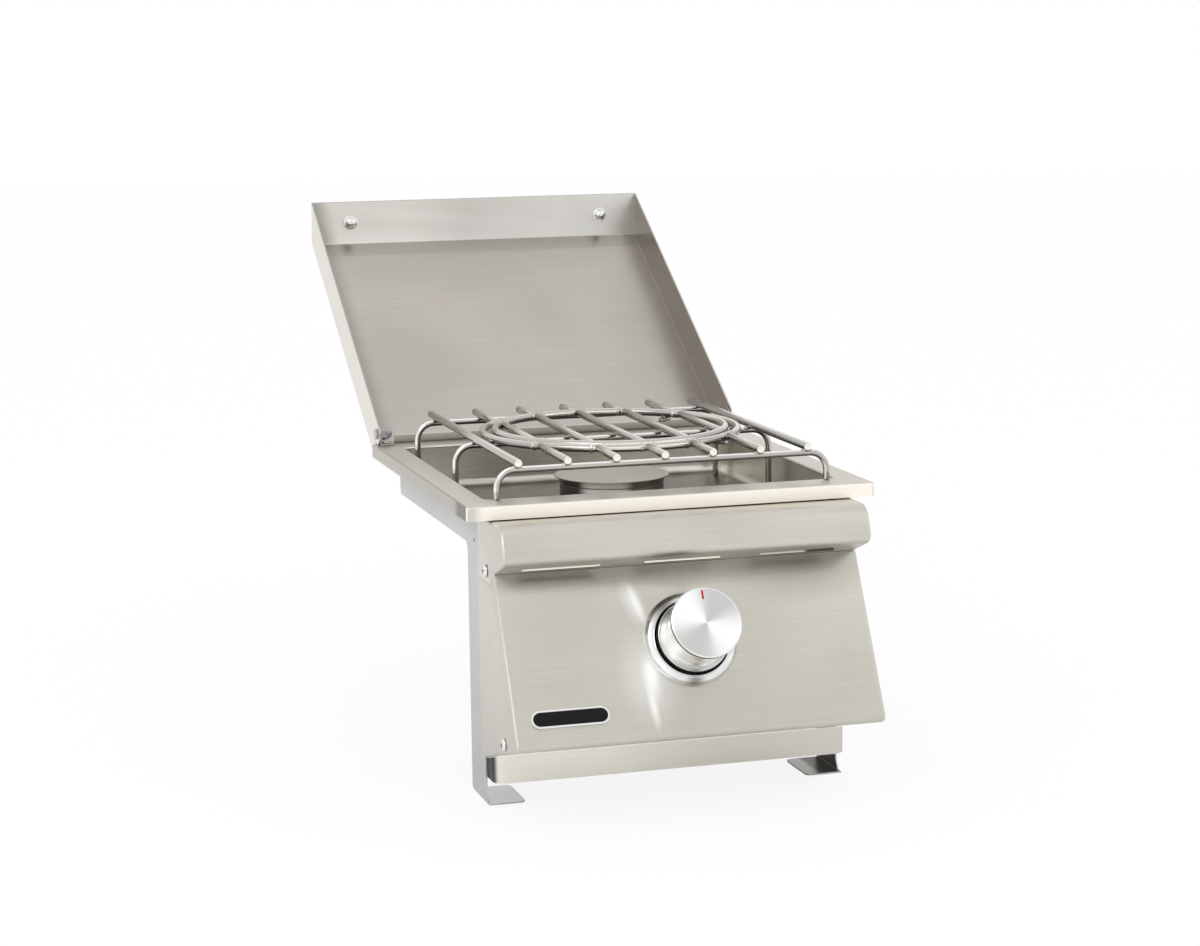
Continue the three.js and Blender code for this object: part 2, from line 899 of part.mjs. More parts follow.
function sideScrew(side, place) {
  const start = side * (housingWidth / 2 + seatGap);
  const profile = [
    [0, -screwLength],
    [screwRadius, -screwLength],
    [screwRadius, 0],
    ...dome(screwHeadRadius, 0, screwHeadHeight),
  ];
  return turned(profile, roundSides / 2, [start, ...place], [side, 0, 0]);
}

// Lower apron

function lowerApron() {
  const outerX = plateInner - seatGap;
  const rear = apronReturn - apronSetback;
  const outer = filleted([
    [-outerX, rear],
    [-outerX, -apronSetback, apronCorner],
    [outerX, -apronSetback, apronCorner],
    [outerX, rear],
  ]);
  const inner = filleted([
    [-outerX + apronSheet, rear + cutOverrun],
    [-outerX + apronSheet, apronSheet - apronSetback, apronCorner - apronSheet],
    [outerX - apronSheet, apronSheet - apronSetback, apronCorner - apronSheet],
    [outerX - apronSheet, rear + cutOverrun],
  ]);
  const lift = -seatGap;
  const wall = cut(
    plateUp(outer, -apronDrop, crease[1]),
    plateUp(inner, -apronDrop - cutOverrun, 0),
  );
  const flangeBack = apronFlange - apronSetback;
  const low = -footDrop - cutOverrun;
  const under = plateAcross([
    new THREE.Vector2(-rimDepth, returnHeight(-rimDepth, lift)),
    new THREE.Vector2(-rimDepth, low),
    new THREE.Vector2(0, low),
    new THREE.Vector2(0, returnHeight(0, lift)),
  ], -rimWidth, rimWidth);
  const front = apronSheet / 2 - apronSetback;
  const flange = plateAcross([
    new THREE.Vector2(front, returnHeight(front, lift)),
    new THREE.Vector2(front, returnHeight(front, lift - apronSheet)),
    new THREE.Vector2(flangeBack, returnHeight(flangeBack, lift - apronSheet)),
    new THREE.Vector2(flangeBack, returnHeight(flangeBack, lift)),
  ], apronCorner - outerX, outerX - apronCorner);
  return join(wall.intersect(under), flange);
}

// Heat shield between the legs

function heatShield() {
  const outerX = plateInner - seatGap;
  const front = -shieldSetback;
  const web = block([-outerX, front, -shieldBottom], [outerX, front + shieldSheet, -shieldTop]);
  const returns = [-1, 1].map((side) => {
    const near = Math.min(side * outerX, side * (outerX - shieldSheet));
    return block([near, front, -shieldBottom], [near + shieldSheet, front + shieldReturn, -shieldTop]);
  });
  const through = (x, up, radius, sides) => rod(
    [x, front - cutOverrun, up],
    [x, front + cutOverrun, up],
    radius,
    sides,
  );
  const manifoldUp = panelPoint(knobDrop, portDepth)[1];
  return cut(
    join(web, ...returns),
    through(0, -gasLineDrop, venturiRadius + seatGap, roundSides),
    through(manifoldReach, manifoldUp, pipeRadius + seatGap, roundSides / 2),
    through(-leadSide, -leadDrop, leadRadius + seatGap, wireSides),
  );
}

// Pieces around the knob, in the panel's own frame: +Z leaves the panel and +Y climbs it

function knobBezel() {
  const crestRadius = (bezelMouthRadius + bezelRadius) / 2;
  const [rim, shoulder, lip] = bezelHeightShares.map((share) => share * bezelHeight);
  return turned([
    [neckRadius + seatGap, seatGap],
    [bezelRadius, seatGap],
    [bezelRadius - bezelSheet / 3, rim],
    [crestRadius + bezelSheet, shoulder],
    [crestRadius - bezelSheet, bezelHeight],
    [bezelMouthRadius + bezelSheet / 3, lip],
    [bezelMouthRadius, shoulder],
    [bezelMouthRadius, seatGap + bezelSheet],
    [neckRadius + seatGap, seatGap + bezelSheet],
  ], wideSides);
}

function knobBody() {
  const shroudTop = knobFootHeight + shroudHeight;
  const bodyHeight = knobHeight - shroudTop;
  const rises = knobHeightShares.map((share) => shroudTop + share * bodyHeight);
  const [flare, cone, waist, neck, face] = rises;
  const solid = turned([
    [0, knobFootHeight],
    [shroudInnerRadius - seatGap, knobFootHeight],
    [shroudInnerRadius - seatGap, shroudTop],
    [knobFootRadius, shroudTop],
    [knobFootRadius, flare],
    [(knobFootRadius + knobWaistRadius) / 2, cone],
    [knobWaistRadius, waist],
    [knobWaistRadius, neck],
    [knobFaceRadius, face],
    [knobFaceRadius, knobHeight - knobFaceBevel],
    [knobFaceRadius - knobFaceBevel, knobHeight],
    [0, knobHeight],
  ], wideSides);
  const stemTop = knobFootHeight + stemKeyDepth + seatGap;
  const bore = rod([0, 0, 0], [0, 0, stemTop], stemRadius + seatGap, rodSides);
  const groove = block(
    [-pointerWidth / 2 - seatGap, pointerStart - seatGap, knobHeight - pointerDepth - seatGap],
    [pointerWidth / 2 + seatGap, pointerStart + pointerLength + seatGap, knobHeight + cutOverrun],
  );
  return cut(solid, bore, groove);
}

function knobShroud() {
  return turned([
    [shroudInnerRadius, knobFootHeight],
    [shroudOuterRadius, knobFootHeight],
    [shroudOuterRadius, knobFootHeight + shroudHeight - seatGap],
    [shroudInnerRadius, knobFootHeight + shroudHeight - seatGap],
  ], wideSides);
}

function knobPointer() {
  return block(
    [-pointerWidth / 2, pointerStart, knobHeight - pointerDepth],
    [pointerWidth / 2, pointerStart + pointerLength, knobHeight],
  );
}

function valveStem() {
  const sleeveEnd = -sleeveDepth - sleeveLength - seatGap;
  const top = knobFootHeight + stemKeyDepth;
  return turned([
    [0, sleeveEnd - stemFootLength],
    [stemFootRadius, sleeveEnd - stemFootLength],
    [stemFootRadius, sleeveEnd],
    [stemRadius, sleeveEnd],
    [stemRadius, top],
    [0, top],
  ], rodSides);
}

function stemSleeve() {
  return turned([
    [stemRadius + seatGap, -sleeveDepth - sleeveLength],
    [sleeveRadius, -sleeveDepth - sleeveLength],
    [sleeveRadius, -sleeveDepth],
    [stemRadius + seatGap, -sleeveDepth],
  ], roundSides / 2);
}

function bracketBack() {
  return -(housingSheet + seatGap + bracketSheet);
}

function valveBracket() {
  const plate = block(
    [-bracketWidth / 2 - bracketShift, -bracketLength / 2, bracketBack()],
    [bracketWidth / 2 - bracketShift, bracketLength / 2, bracketBack() + bracketSheet],
  );
  return cut(plate, rod([0, 0, -cutOverrun], [0, 0, 0], neckRadius + seatGap, roundSides));
}

function gasValve() {
  const top = bracketBack() - seatGap;
  const body = block(
    [-valveWidth / 2, -valveDepth / 2, top - valveLength],
    [valveWidth / 2, valveDepth / 2, top],
  );
  const neck = rod([0, 0, top - valveLength / 2], [0, 0, neckRise], neckRadius, roundSides);
  const bore = rod([0, 0, -valveBoreDepth], [0, 0, cutOverrun], sleeveRadius + seatGap, roundSides);
  return cut(join(body, neck), bore);
}

function piezoIgniter() {
  const top = bracketBack() - seatGap;
  const end = top - piezoLength;
  return turned([
    [0, end],
    [piezoTipRadius, end],
    [piezoTipRadius, end + piezoTipLength],
    [piezoRadius, end + piezoShoulder],
    [piezoRadius, top],
    [0, top],
  ], roundSides / 2, [-piezoOffset, 0, 0]);
}

// Pill outline centred on its own middle
function pillPoints(length, width) {
  const radius = width / 2;
  const reach = length / 2;
  const ends = [[reach, -radius], [reach, radius], [-reach, radius], [-reach, -radius]];
  return filleted(ends.map(([x, y]) => [x, y, radius * fullRoundShare]));
}

function badgeBorder() {
  const outer = pillPoints(badgeLength, badgeWidth);
  const hole = pillPoints(badgeLength - 2 * badgeRim, badgeWidth - 2 * badgeRim);
  return plateUp(outer, seatGap, seatGap + badgeHeight, hole);
}

function badgePlate() {
  const rim = 2 * (badgeRim + seatGap);
  return plateUp(pillPoints(badgeLength - rim, badgeWidth - rim), seatGap, seatGap + badgeFaceHeight);
}

// Gas path

function jetTube() {
  const [startBack, startUp] = panelPoint(knobDrop - valveDepth / 2 - seatGap, portDepth);
  const climb = -gasLineDrop - startUp;
  const cornerBack = startBack + climb * Math.tan(panelLean);
  return pipe([
    [0, startBack, startUp],
    [0, cornerBack, -gasLineDrop],
    [0, -jetStart - seatGap, -gasLineDrop],
  ], pipeBend, pipeRadius, pipeBore, rodSides);
}

function valveJet() {
  const hexEnd = jetHexLength;
  const bodyEnd = hexEnd + jetBodyLength;
  const tipEnd = bodyEnd + jetTipLength;
  const origin = [0, -jetStart, -gasLineDrop];
  const hex = turned([
    [0, 0],
    [jetHexRadius, 0],
    [jetHexRadius, hexEnd],
    [0, hexEnd],
  ], hexSides, origin, [0, 1, 0]);
  const body = turned([
    [0, hexEnd / 2],
    [jetBodyRadius, hexEnd / 2],
    [jetBodyRadius, bodyEnd],
    [jetTipRadius, tipEnd],
    [0, tipEnd],
  ], roundSides / 2, origin, [0, 1, 0]);
  return join(hex, body);
}

function gasManifold() {
  const [back, up] = panelPoint(knobDrop, portDepth);
  return pipe([
    [valveWidth / 2 + seatGap, back, up],
    [manifoldReach, back, up],
    [manifoldReach, -manifoldEnd - seatGap, up],
  ], pipeBend, pipeRadius, pipeBore, rodSides);
}

function inletFitting() {
  const up = panelPoint(knobDrop, portDepth)[1];
  const origin = [manifoldReach, -manifoldEnd, up];
  const end = fittingHexLength + fittingTailLength;
  const hex = turned([
    [0, 0],
    [fittingRadius, 0],
    [fittingRadius, fittingHexLength],
    [0, fittingHexLength],
  ], hexSides, origin, [0, 1, 0]);
  const tail = turned([
    [0, fittingHexLength / 2],
    [fittingTailRadius, fittingHexLength / 2],
    [fittingTailRadius, end],
    [0, end],
  ], roundSides, origin, [0, 1, 0]);
  const bore = rod(
    [manifoldReach, -manifoldEnd - cutOverrun, up],
    [manifoldReach, end + cutOverrun - manifoldEnd, up],
    fittingBore,
    roundSides / 2,
  );
  return cut(join(hex, tail), bore);
}

// Burner

function burnerBody() {
  const neckBore = venturiRadius + seatGap;
  const bodyFloor = burnerBase - burnerBottom;
  const shell = turned([
    [neckBore, -burnerNeckDrop],
    [burnerNeckRadius, -burnerNeckDrop],
    [burnerNeckRadius, -burnerBottom],
    [burnerFootRadius, -burnerBottom],
    [burnerFootRadius, burnerFootHeight / 2 - burnerBottom],
    [burnerRadius, burnerFootHeight - burnerBottom],
    [burnerRadius, -burnerTopDrop],
    [burnerRadius - burnerWall, -burnerTopDrop],
    [burnerRadius - burnerWall, bodyFloor],
    [neckBore, bodyFloor],
  ], wideSides, [0, -burnerSetback, 0]);
  const ports = [];
  for (let k = 0; k < portPairs; k += 1) {
    const geometry = new THREE.BoxGeometry(2 * capRadius, portWidth, 2 * portHeight);
    geometry.rotateZ(Math.PI * k / portPairs);
    ports.push(toSolid(geometry.translate(0, -burnerSetback, -burnerTopDrop)));
  }
  return cut(shell, ...ports);
}

function burnerCap() {
  const seat = seatGap - burnerTopDrop;
  const spigot = burnerRadius - burnerWall - seatGap;
  return turned([
    [0, seat - capSpigot],
    [spigot, seat - capSpigot],
    [spigot, seat],
    [burnerRadius + seatGap, seat],
    [capRadius, seat + capSkirt - capEdge],
    [capRadius, seat + capSkirt],
    [capRadius - capEdge, seat + capSkirt + capEdge / 2],
    [capRadius - capCrownInset, seat + capHeight],
    [0, seat + capHeight],
  ], wideSides, [0, -burnerSetback, 0]);
}

function burnerClamp() {
  const top = -panUnderside - seatGap;
  return turned([
    [burnerNeckRadius + seatGap, top - clampSheet],
    [clampRadius, top - clampSheet],
    [clampRadius, top],
    [burnerNeckRadius + seatGap, top],
  ], roundSides, [0, -burnerSetback, 0]);
}

function venturiTube() {
  const bore = venturiRadius - venturiWall;
  const tube = pipe([
    [0, -burnerSetback, burnerBase / 2 - burnerBottom - burnerBase],
    [0, -burnerSetback, -gasLineDrop],
    [0, -venturiEnd, -gasLineDrop],
  ], venturiBend, venturiRadius, bore, roundSides);
  const bell = turned([
    [bore, -weldSink],
    [venturiRadius, -weldSink],
    [bellRadius, bellLength],
    [bellRadius - venturiWall, bellLength],
  ], roundSides, [0, -venturiEnd, -gasLineDrop], [0, -1, 0]);
  return join(tube, bell);
}

function airShutter() {
  const start = bellLength - shutterLap / 2;
  const end = shutterReach;
  const inner = bellRadius + seatGap;
  const outer = inner + shutterWall;
  const origin = [0, -venturiEnd, -gasLineDrop];
  const cup = turned([
    [jetBodyRadius + seatGap, end],
    [inner, end],
    [inner, start],
    [outer, start],
    [outer, end + shutterWall],
    [jetBodyRadius + seatGap, end + shutterWall],
  ], roundSides, origin, [0, -1, 0]);
  const windowFront = -venturiEnd - end + seatGap;
  const window = block(
    [-outer - cutOverrun, windowFront, -gasLineDrop - shutterWindow],
    [outer + cutOverrun, windowFront + shutterWindow, -gasLineDrop + shutterWindow],
  );
  return cut(cup, window);
}

// Ignition

function igniterBracket() {
  const low = seatGap - panDepth;
  const half = igniterPlateSize / 2;
  const plate = block(
    [igniterOffset - half, igniterBack - half / 2, low],
    [igniterOffset + half, igniterBack + half, low + igniterPlate],
  );
  const hole = rod(
    [igniterOffset, igniterBack, low - cutOverrun],
    [igniterOffset, igniterBack, 0],
    ceramicRadius + seatGap,
    rodSides,
  );
  return cut(plate, hole);
}

function igniterCeramic() {
  const origin = [igniterOffset, igniterBack, 0];
  return turned([
    [wireRadius + seatGap, -ceramicDrop],
    [ceramicRadius, -ceramicDrop],
    [ceramicRadius, -ceramicTop],
    [wireRadius + seatGap, -ceramicTop],
  ], rodSides, origin);
}

function igniterWire() {
  const low = [igniterOffset, igniterBack, -ceramicDrop];
  return rod(low, [igniterOffset, igniterBack, -wireTop], wireRadius, wireSides);
}

// The lead's clip hangs from a tab that lies under the pan
function leadHeight() {
  const tabUnderside = -panUnderside - seatGap - clipWall;
  return tabUnderside - (leadRadius + seatGap + clipWall) + weldSink;
}

function igniterLead() {
  const top = bracketBack() - seatGap;
  const start = panelPoint(knobDrop, piezoLength + seatGap - top);
  const turnBack = panelPoint(knobDrop, piezoLength + leadRun - top);
  const electrodeFoot = -ceramicDrop - seatGap;
  return pipe([
    [-piezoOffset, ...start],
    [-piezoOffset, ...turnBack],
    [-leadSide, -shieldSetback - 2 * leadRun, -leadDrop],
    [-leadSide, -shieldSetback + 2 * leadRun, -leadDrop],
    [-leadSide, -burnerSetback - leadRun, leadHeight()],
    [-leadSide, igniterBack - leadRun, leadHeight()],
    [igniterOffset, igniterBack, electrodeFoot - leadDip],
    [igniterOffset, igniterBack, electrodeFoot],
  ], leadBend, leadRadius, 0, wireSides);
}

function leadClip() {
  const inner = leadRadius + seatGap;
  const outer = inner + clipWall;
  const height = leadHeight();
  const origin = [-leadSide, clipBack, height];
  const loop = turned([
    [inner, -clipLength / 2],
    [outer, -clipLength / 2],
    [outer, clipLength / 2],
    [inner, clipLength / 2],
  ], roundSides / 2, origin, [0, 1, 0]);
  const tabTop = -panUnderside - seatGap;
  const tab = block(
    [-leadSide - clipTab, clipBack - clipLength / 2, tabTop - clipWall],
    [-leadSide + clipWall / 2, clipBack + clipLength / 2, tabTop],
  );
  return join(loop, tab);
}

// Hinges

function bracketOuter() {
  return lidWidth / 2 - lidSheet - seatGap;
}

function hingeBracket(side) {
  const outer = bracketOuter();
  const low = rimHeight + seatGap;
  const round = hingePlateRadius * fullRoundShare;
  const web = filleted([
    [hingeBack - hingePlateRadius, low],
    [hingeBack + hingePlateRadius, low],
    [hingeBack + hingePlateRadius, hingeHeight + hingePlateRadius, round],
    [hingeBack - hingePlateRadius, hingeHeight + hingePlateRadius, round],
  ]);
  const near = Math.min(side * outer, side * (outer - hingeSheet));
  const plate = plateAcross(web, near, near + hingeSheet);
  const foot = block(
    [Math.min(side * outer, side * (outer - hingeFoot)), hingeBack - hingePlateRadius, low],
    [Math.max(side * outer, side * (outer - hingeFoot)), hingeBack + hingePlateRadius, low + hingeSheet],
  );
  const pinHole = rod(
    [near - cutOverrun, hingeBack, hingeHeight],
    [near + cutOverrun, hingeBack, hingeHeight],
    hingePinRadius + seatGap,
    roundSides / 2,
  );
  const x = side * (outer - rivetInset);
  const rivetHole = rod([x, hingeBack, 0], [x, hingeBack, hingeHeight], rivetRadius + seatGap, wireSides);
  return cut(join(plate, foot), pinHole, rivetHole);
}

function hingeRivet(side) {
  const seat = rimHeight + hingeSheet + 2 * seatGap;
  const x = side * (bracketOuter() - rivetInset);
  return turned([
    [0, -rivetLength],
    [rivetRadius, -rivetLength],
    [rivetRadius, 0],
    ...dome(rivetHeadRadius, 0, rivetHeadHeight),
  ], rodSides, [x, hingeBack, seat]);
}

function hingeBolt(side) {
  const start = lidWidth / 2 + seatGap;
  const reach = start - (bracketOuter() - hingeSheet - seatGap - hingeNutBore);
  return turned([
    [0, -reach],
    [hingePinRadius, -reach],
    [hingePinRadius, 0],
    ...dome(hingeHeadRadius, 0, hingeHeadHeight),
  ], roundSides / 2, [side * start, hingeBack, hingeHeight], [side, 0, 0]);
}

function hingeNut(side) {
  const start = bracketOuter() - hingeSheet - seatGap;
  const origin = [side * start, hingeBack, hingeHeight];
  const hex = turned([
    [0, 0],
    [hingeNutRadius, 0],
    [hingeNutRadius, hingeNutHex],
    [0, hingeNutHex],
  ], hexSides, origin, [-side, 0, 0]);
  const crown = turned([
    [0, hingeNutHex / 2],
    [hingeDomeRadius, hingeNutHex / 2],
    ...dome(hingeDomeRadius, hingeNutHex, hingeNutDome),
  ], roundSides / 2, origin, [-side, 0, 0]);
  const bore = rod(
    [side * (start + cutOverrun), hingeBack, hingeHeight],
    [side * (start - hingeNutBore - seatGap), hingeBack, hingeHeight],
    hingePinRadius + seatGap,
    roundSides / 2,
  );
  return cut(join(hex, crown), bore);
}

// Lid, closed, with the hinge axis through its own origin

// The rear flange leans on the rim's rear edge when the lid is open
function rearFlangePlane() {
  const edgeBack = rimDepth / 2 - rimEdgeRadius - hingeBack;
  const edgeUp = rimHeight - rimEdgeRadius - hingeHeight;
  const back = edgeBack * Math.cos(lidOpenAngle) - edgeUp * Math.sin(lidOpenAngle);
  return back - rimEdgeRadius - seatGap;
}

function slopeRun() {
  return new THREE.Vector2(lidFold - lidTip, -(lidTop + lidLobe)).normalize();
}

// Place at a distance down the front slope from the fold and a height outside it
function slopePoint(x, down, lift) {
  const run = slopeRun();
  const back = -lidFold + run.x * down + run.y * lift;
  const up = lidTop + run.y * down - run.x * lift;
  return [x, back, up];
}

function slopeNormal() {
  const run = slopeRun();
  return [0, run.y, -run.x];
}

function lidShell() {
  const rear = rearFlangePlane();
  const half = lidWidth / 2;
  const innerHalf = half - lidSheet;
  const run = slopeRun();
  const foldTurn = Math.acos(-run.x);
  const profile = (sheet, drop) => filleted([
    [rear - sheet, -lidLobe - drop],
    [rear - sheet, lidTop - sheet, lidRearBend - sheet],
    [sheet * Math.tan(foldTurn / 2) - lidFold, lidTop - sheet, lidFoldBend - sheet],
    [sheet / -run.y - lidTip, -lidLobe],
    [sheet / -run.y - lidTip, -lidLobe - drop],
  ]);
  const lobe = (fromX, toX) => rod([fromX, 0, 0], [toX, 0, 0], lidLobe, roundSides);
  const crossSection = filleted([
    [-half, -lidTop - cutOverrun],
    [half, -lidTop - cutOverrun],
    [half, lidTop, lidSideBend],
    [-half, lidTop, lidSideBend],
  ]);
  const body = plateAcross(profile(0, 0), -half, half);
  const rounded = body.intersect(plateBack(crossSection, -rimDepth, rimDepth));
  const hollow = plateAcross(profile(lidSheet, cutOverrun), -innerHalf, innerHalf);
  const lobes = [lobe(-half, -innerHalf), lobe(innerHalf, half)];
  const underFlange = block(
    [-innerHalf, rear - cutOverrun, -cutOverrun],
    [innerHalf, rear + cutOverrun, rearFlangeEnd],
  );
  const notches = [-1, 1].map((side) => {
    const inner = side * (half - rearFlangeInset);
    const outer = side * innerHalf;
    return block(
      [Math.min(inner, outer), rear - lidRearBend, rearFlangeEnd - cutOverrun],
      [Math.max(inner, outer), rear + cutOverrun, lidTop - lidRearBend - lidSheet],
    );
  });
  const pinHole = rod(
    [-half - cutOverrun, 0, 0],
    [half + cutOverrun, 0, 0],
    hingePinRadius + seatGap,
    roundSides / 2,
  );
  const studHoles = [-1, 1].map((side) => rod(
    slopePoint(side * handlePostReach, handleNutSlope, -cutOverrun),
    slopePoint(side * handlePostReach, handleNutSlope, cutOverrun),
    handleStudRadius + seatGap,
    rodSides,
  ));
  const shell = cut(rounded, hollow, underFlange, ...notches);
  return cut(join(shell, ...lobes), pinHole, ...studHoles);
}

function lidHandle() {
  const barHalf = handlePostReach + handleOverhang;
  const bar = rod(
    slopePoint(-barHalf, handleNutSlope, handleStandoff),
    slopePoint(barHalf, handleNutSlope, handleStandoff),
    handleBarRadius,
    roundSides,
  );
  const posts = [-1, 1].map((side) => rod(
    slopePoint(side * handlePostReach, handleNutSlope, seatGap),
    slopePoint(side * handlePostReach, handleNutSlope, handleStandoff),
    handlePostRadius,
    roundSides / 2,
  ));
  const bores = [-1, 1].map((side) => rod(
    slopePoint(side * handlePostReach, handleNutSlope, -cutOverrun),
    slopePoint(side * handlePostReach, handleNutSlope, handleStudLength + seatGap),
    handleStudRadius + seatGap,
    rodSides,
  ));
  return cut(join(bar, ...posts), ...bores);
}

function handleNut(side) {
  const seat = -lidSheet - seatGap;
  const origin = slopePoint(side * handlePostReach, handleNutSlope, 0);
  return turned([
    ...dome(handleNutRadius, seat, -handleNutHeight).reverse(),
    [handleStudRadius, seat],
    [handleStudRadius, handleStudLength],
    [0, handleStudLength],
  ], roundSides / 2, origin, slopeNormal());
}

// Grate

function chordHalf(radius, x) {
  return Math.sqrt(radius ** 2 - x ** 2);
}

function supportWire(back, footHeight) {
  const height = rodHeight - rodRadius - seatGap - supportRadius;
  return pipe([
    [-supportSpread, back, footHeight],
    [-supportSpread, back, height],
    [supportSpread, back, height],
    [supportSpread, back, footHeight],
  ], supportBend, supportRadius, 0, wireSides);
}

function ringPeg(angle) {
  const height = insertHeight - rodRadius - seatGap - pegRadius;
  const reach = (radius) => [radius * Math.cos(angle), radius * Math.sin(angle), height];
  return rod(
    reach(insertRingRadius - pegInnerReach),
    reach(outerRingRadius + pegOuterReach),
    pegRadius,
    wireSides,
  );
}

function sideRod(side) {
  const x = side * rodsEachSide * rodPitch;
  return rod([x, -rodFront, rodHeight], [x, rodBack, rodHeight], rodRadius, rodSides);
}

function grateFrame() {
  const rods = [];
  for (let k = 1 - rodsEachSide; k < rodsEachSide; k += 1) {
    const x = k * rodPitch;
    const ringBack = chordHalf(outerRingRadius, x);
    rods.push(rod([x, -rodFront, rodHeight], [x, -ringBack, rodHeight], rodRadius, rodSides));
    rods.push(rod([x, ringBack, rodHeight], [x, rodBack, rodHeight], rodRadius, rodSides));
  }
  const pegs = [1, 3, 5, 7].map((eighth) => ringPeg(eighth * Math.PI / 4));
  return join(wireRing(outerRingRadius, rodHeight), ...rods, ...pegs);
}

function wokRing() {
  const bars = [];
  for (let k = 1 - rodsEachSide; k < rodsEachSide; k += 1) {
    const x = k * rodPitch;
    const reach = chordHalf(insertRingRadius, x);
    bars.push(rod([x, -reach, insertHeight], [x, reach, insertHeight], rodRadius, rodSides));
  }
  return join(wireRing(insertRingRadius, insertHeight), ...bars);
}

// Assembly

function panelFrame(x, down) {
  const group = new THREE.Group();
  const [back, up] = panelPoint(down, 0);
  group.position.set(x, back, up);
  group.rotation.x = Math.PI / 2 - panelLean;
  return group;
}

function knobAssembly() {
  const group = panelFrame(0, knobDrop);
  group.add(
    piece('knob_bezel', knobBezel(), chrome()),
    piece('knob_body', knobBody(), chrome()),
    piece('knob_shroud', knobShroud(), blackPlastic()),
    piece('knob_pointer', knobPointer(), redPaint()),
    piece('valve_stem', valveStem(), zincPlate()),
    piece('stem_sleeve', stemSleeve(), brass()),
    piece('valve_bracket', valveBracket(), zincPlate()),
    piece('gas_valve', gasValve(), castAluminium()),
    piece('piezo_igniter', piezoIgniter(), blackPlastic()),
  );
  return group;
}

function badge() {
  const group = panelFrame(-badgeOffset, badgeDrop);
  group.add(
    piece('badge_border', badgeBorder(), chrome()),
    piece('badge_plate', badgePlate(), blackPlastic()),
  );
  return group;
}

function lid() {
  const group = new THREE.Group();
  group.position.set(0, hingeBack, hingeHeight);
  group.rotation.x = -lidOpenAngle;
  group.add(
    piece('lid_shell', lidShell(), brushedSteel()),
    piece('lid_handle', lidHandle(), chrome()),
    piece('handle_nut_left', handleNut(-1), chrome()),
    piece('handle_nut_right', handleNut(1), chrome()),
  );
  return group;
}

function sidePieces(name, side) {
  const group = new THREE.Group();
  const [upper, lower] = screwPlaces();
  group.add(
    piece(`side_plate_${name}`, sidePlate(side), brushedSteel()),
    piece(`side_screw_${name}_upper`, sideScrew(side, upper), chrome()),
    piece(`side_screw_${name}_lower`, sideScrew(side, lower), chrome()),
    piece(`hinge_bracket_${name}`, hingeBracket(side), zincPlate()),
    piece(`hinge_rivet_${name}`, hingeRivet(side), zincPlate()),
    piece(`hinge_bolt_${name}`, hingeBolt(side), chrome()),
    piece(`hinge_nut_${name}`, hingeNut(side), chrome()),
  );
  return group;
}

function grate() {
  const group = new THREE.Group();
  const panFoot = seatGap - panDepth;
  group.add(
    piece('grate_frame', grateFrame(), rodSteel()),
    piece('grate_rod_left', sideRod(-1), rodSteel()),
    piece('grate_rod_right', sideRod(1), rodSteel()),
    piece('grate_support_front', supportWire(-frontSupport, rimHeight + seatGap), rodSteel()),
    piece('grate_support_middle', supportWire(-middleSupport, panFoot), rodSteel()),
    piece('grate_support_rear', supportWire(rearSupport, panFoot), rodSteel()),
    piece('wok_ring', wokRing(), rodSteel()),
  );
  return group;
}

function sideBurner() {
  const group = new THREE.Group();
  const box = housing();
  group.add(
    piece('top_rim', topRim(), brushedSteel()),
    piece('burner_pan', burnerPan(), panSteel()),
    piece('header_fascia', headerFascia(box), brushedSteel()),
    piece('control_panel', controlPanel(box), brushedSteel()),
    piece('lower_apron', lowerApron(), brushedSteel()),
    piece('heat_shield', heatShield(), zincPlate()),
    piece('jet_tube', jetTube(), brass()),
    piece('valve_jet', valveJet(), brass()),
    piece('gas_manifold', gasManifold(), zincPlate()),
    piece('inlet_fitting', inletFitting(), brass()),
    piece('venturi_tube', venturiTube(), zincPlate()),
    piece('air_shutter', airShutter(), zincPlate()),
    piece('burner_body', burnerBody(), castAluminium()),
    piece('burner_clamp', burnerClamp(), zincPlate()),
    piece('burner_cap', burnerCap(), castAluminium()),
    piece('igniter_bracket', igniterBracket(), zincPlate()),
    piece('igniter_ceramic', igniterCeramic(), ceramic()),
    piece('igniter_wire', igniterWire(), zincPlate()),
    piece('igniter_lead', igniterLead(), blackPlastic()),
    piece('lead_clip', leadClip(), zincPlate()),
    grate(),
    sidePieces('left', -1),
    sidePieces('right', 1),
    knobAssembly(),
    badge(),
    lid(),
  );
  return group;
}

export default sideBurner();
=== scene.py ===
import json
import math

import bmesh
import bpy
from bpy.props import FloatProperty, FloatVectorProperty, IntProperty, PointerProperty
from mathutils import Matrix, Vector, noise


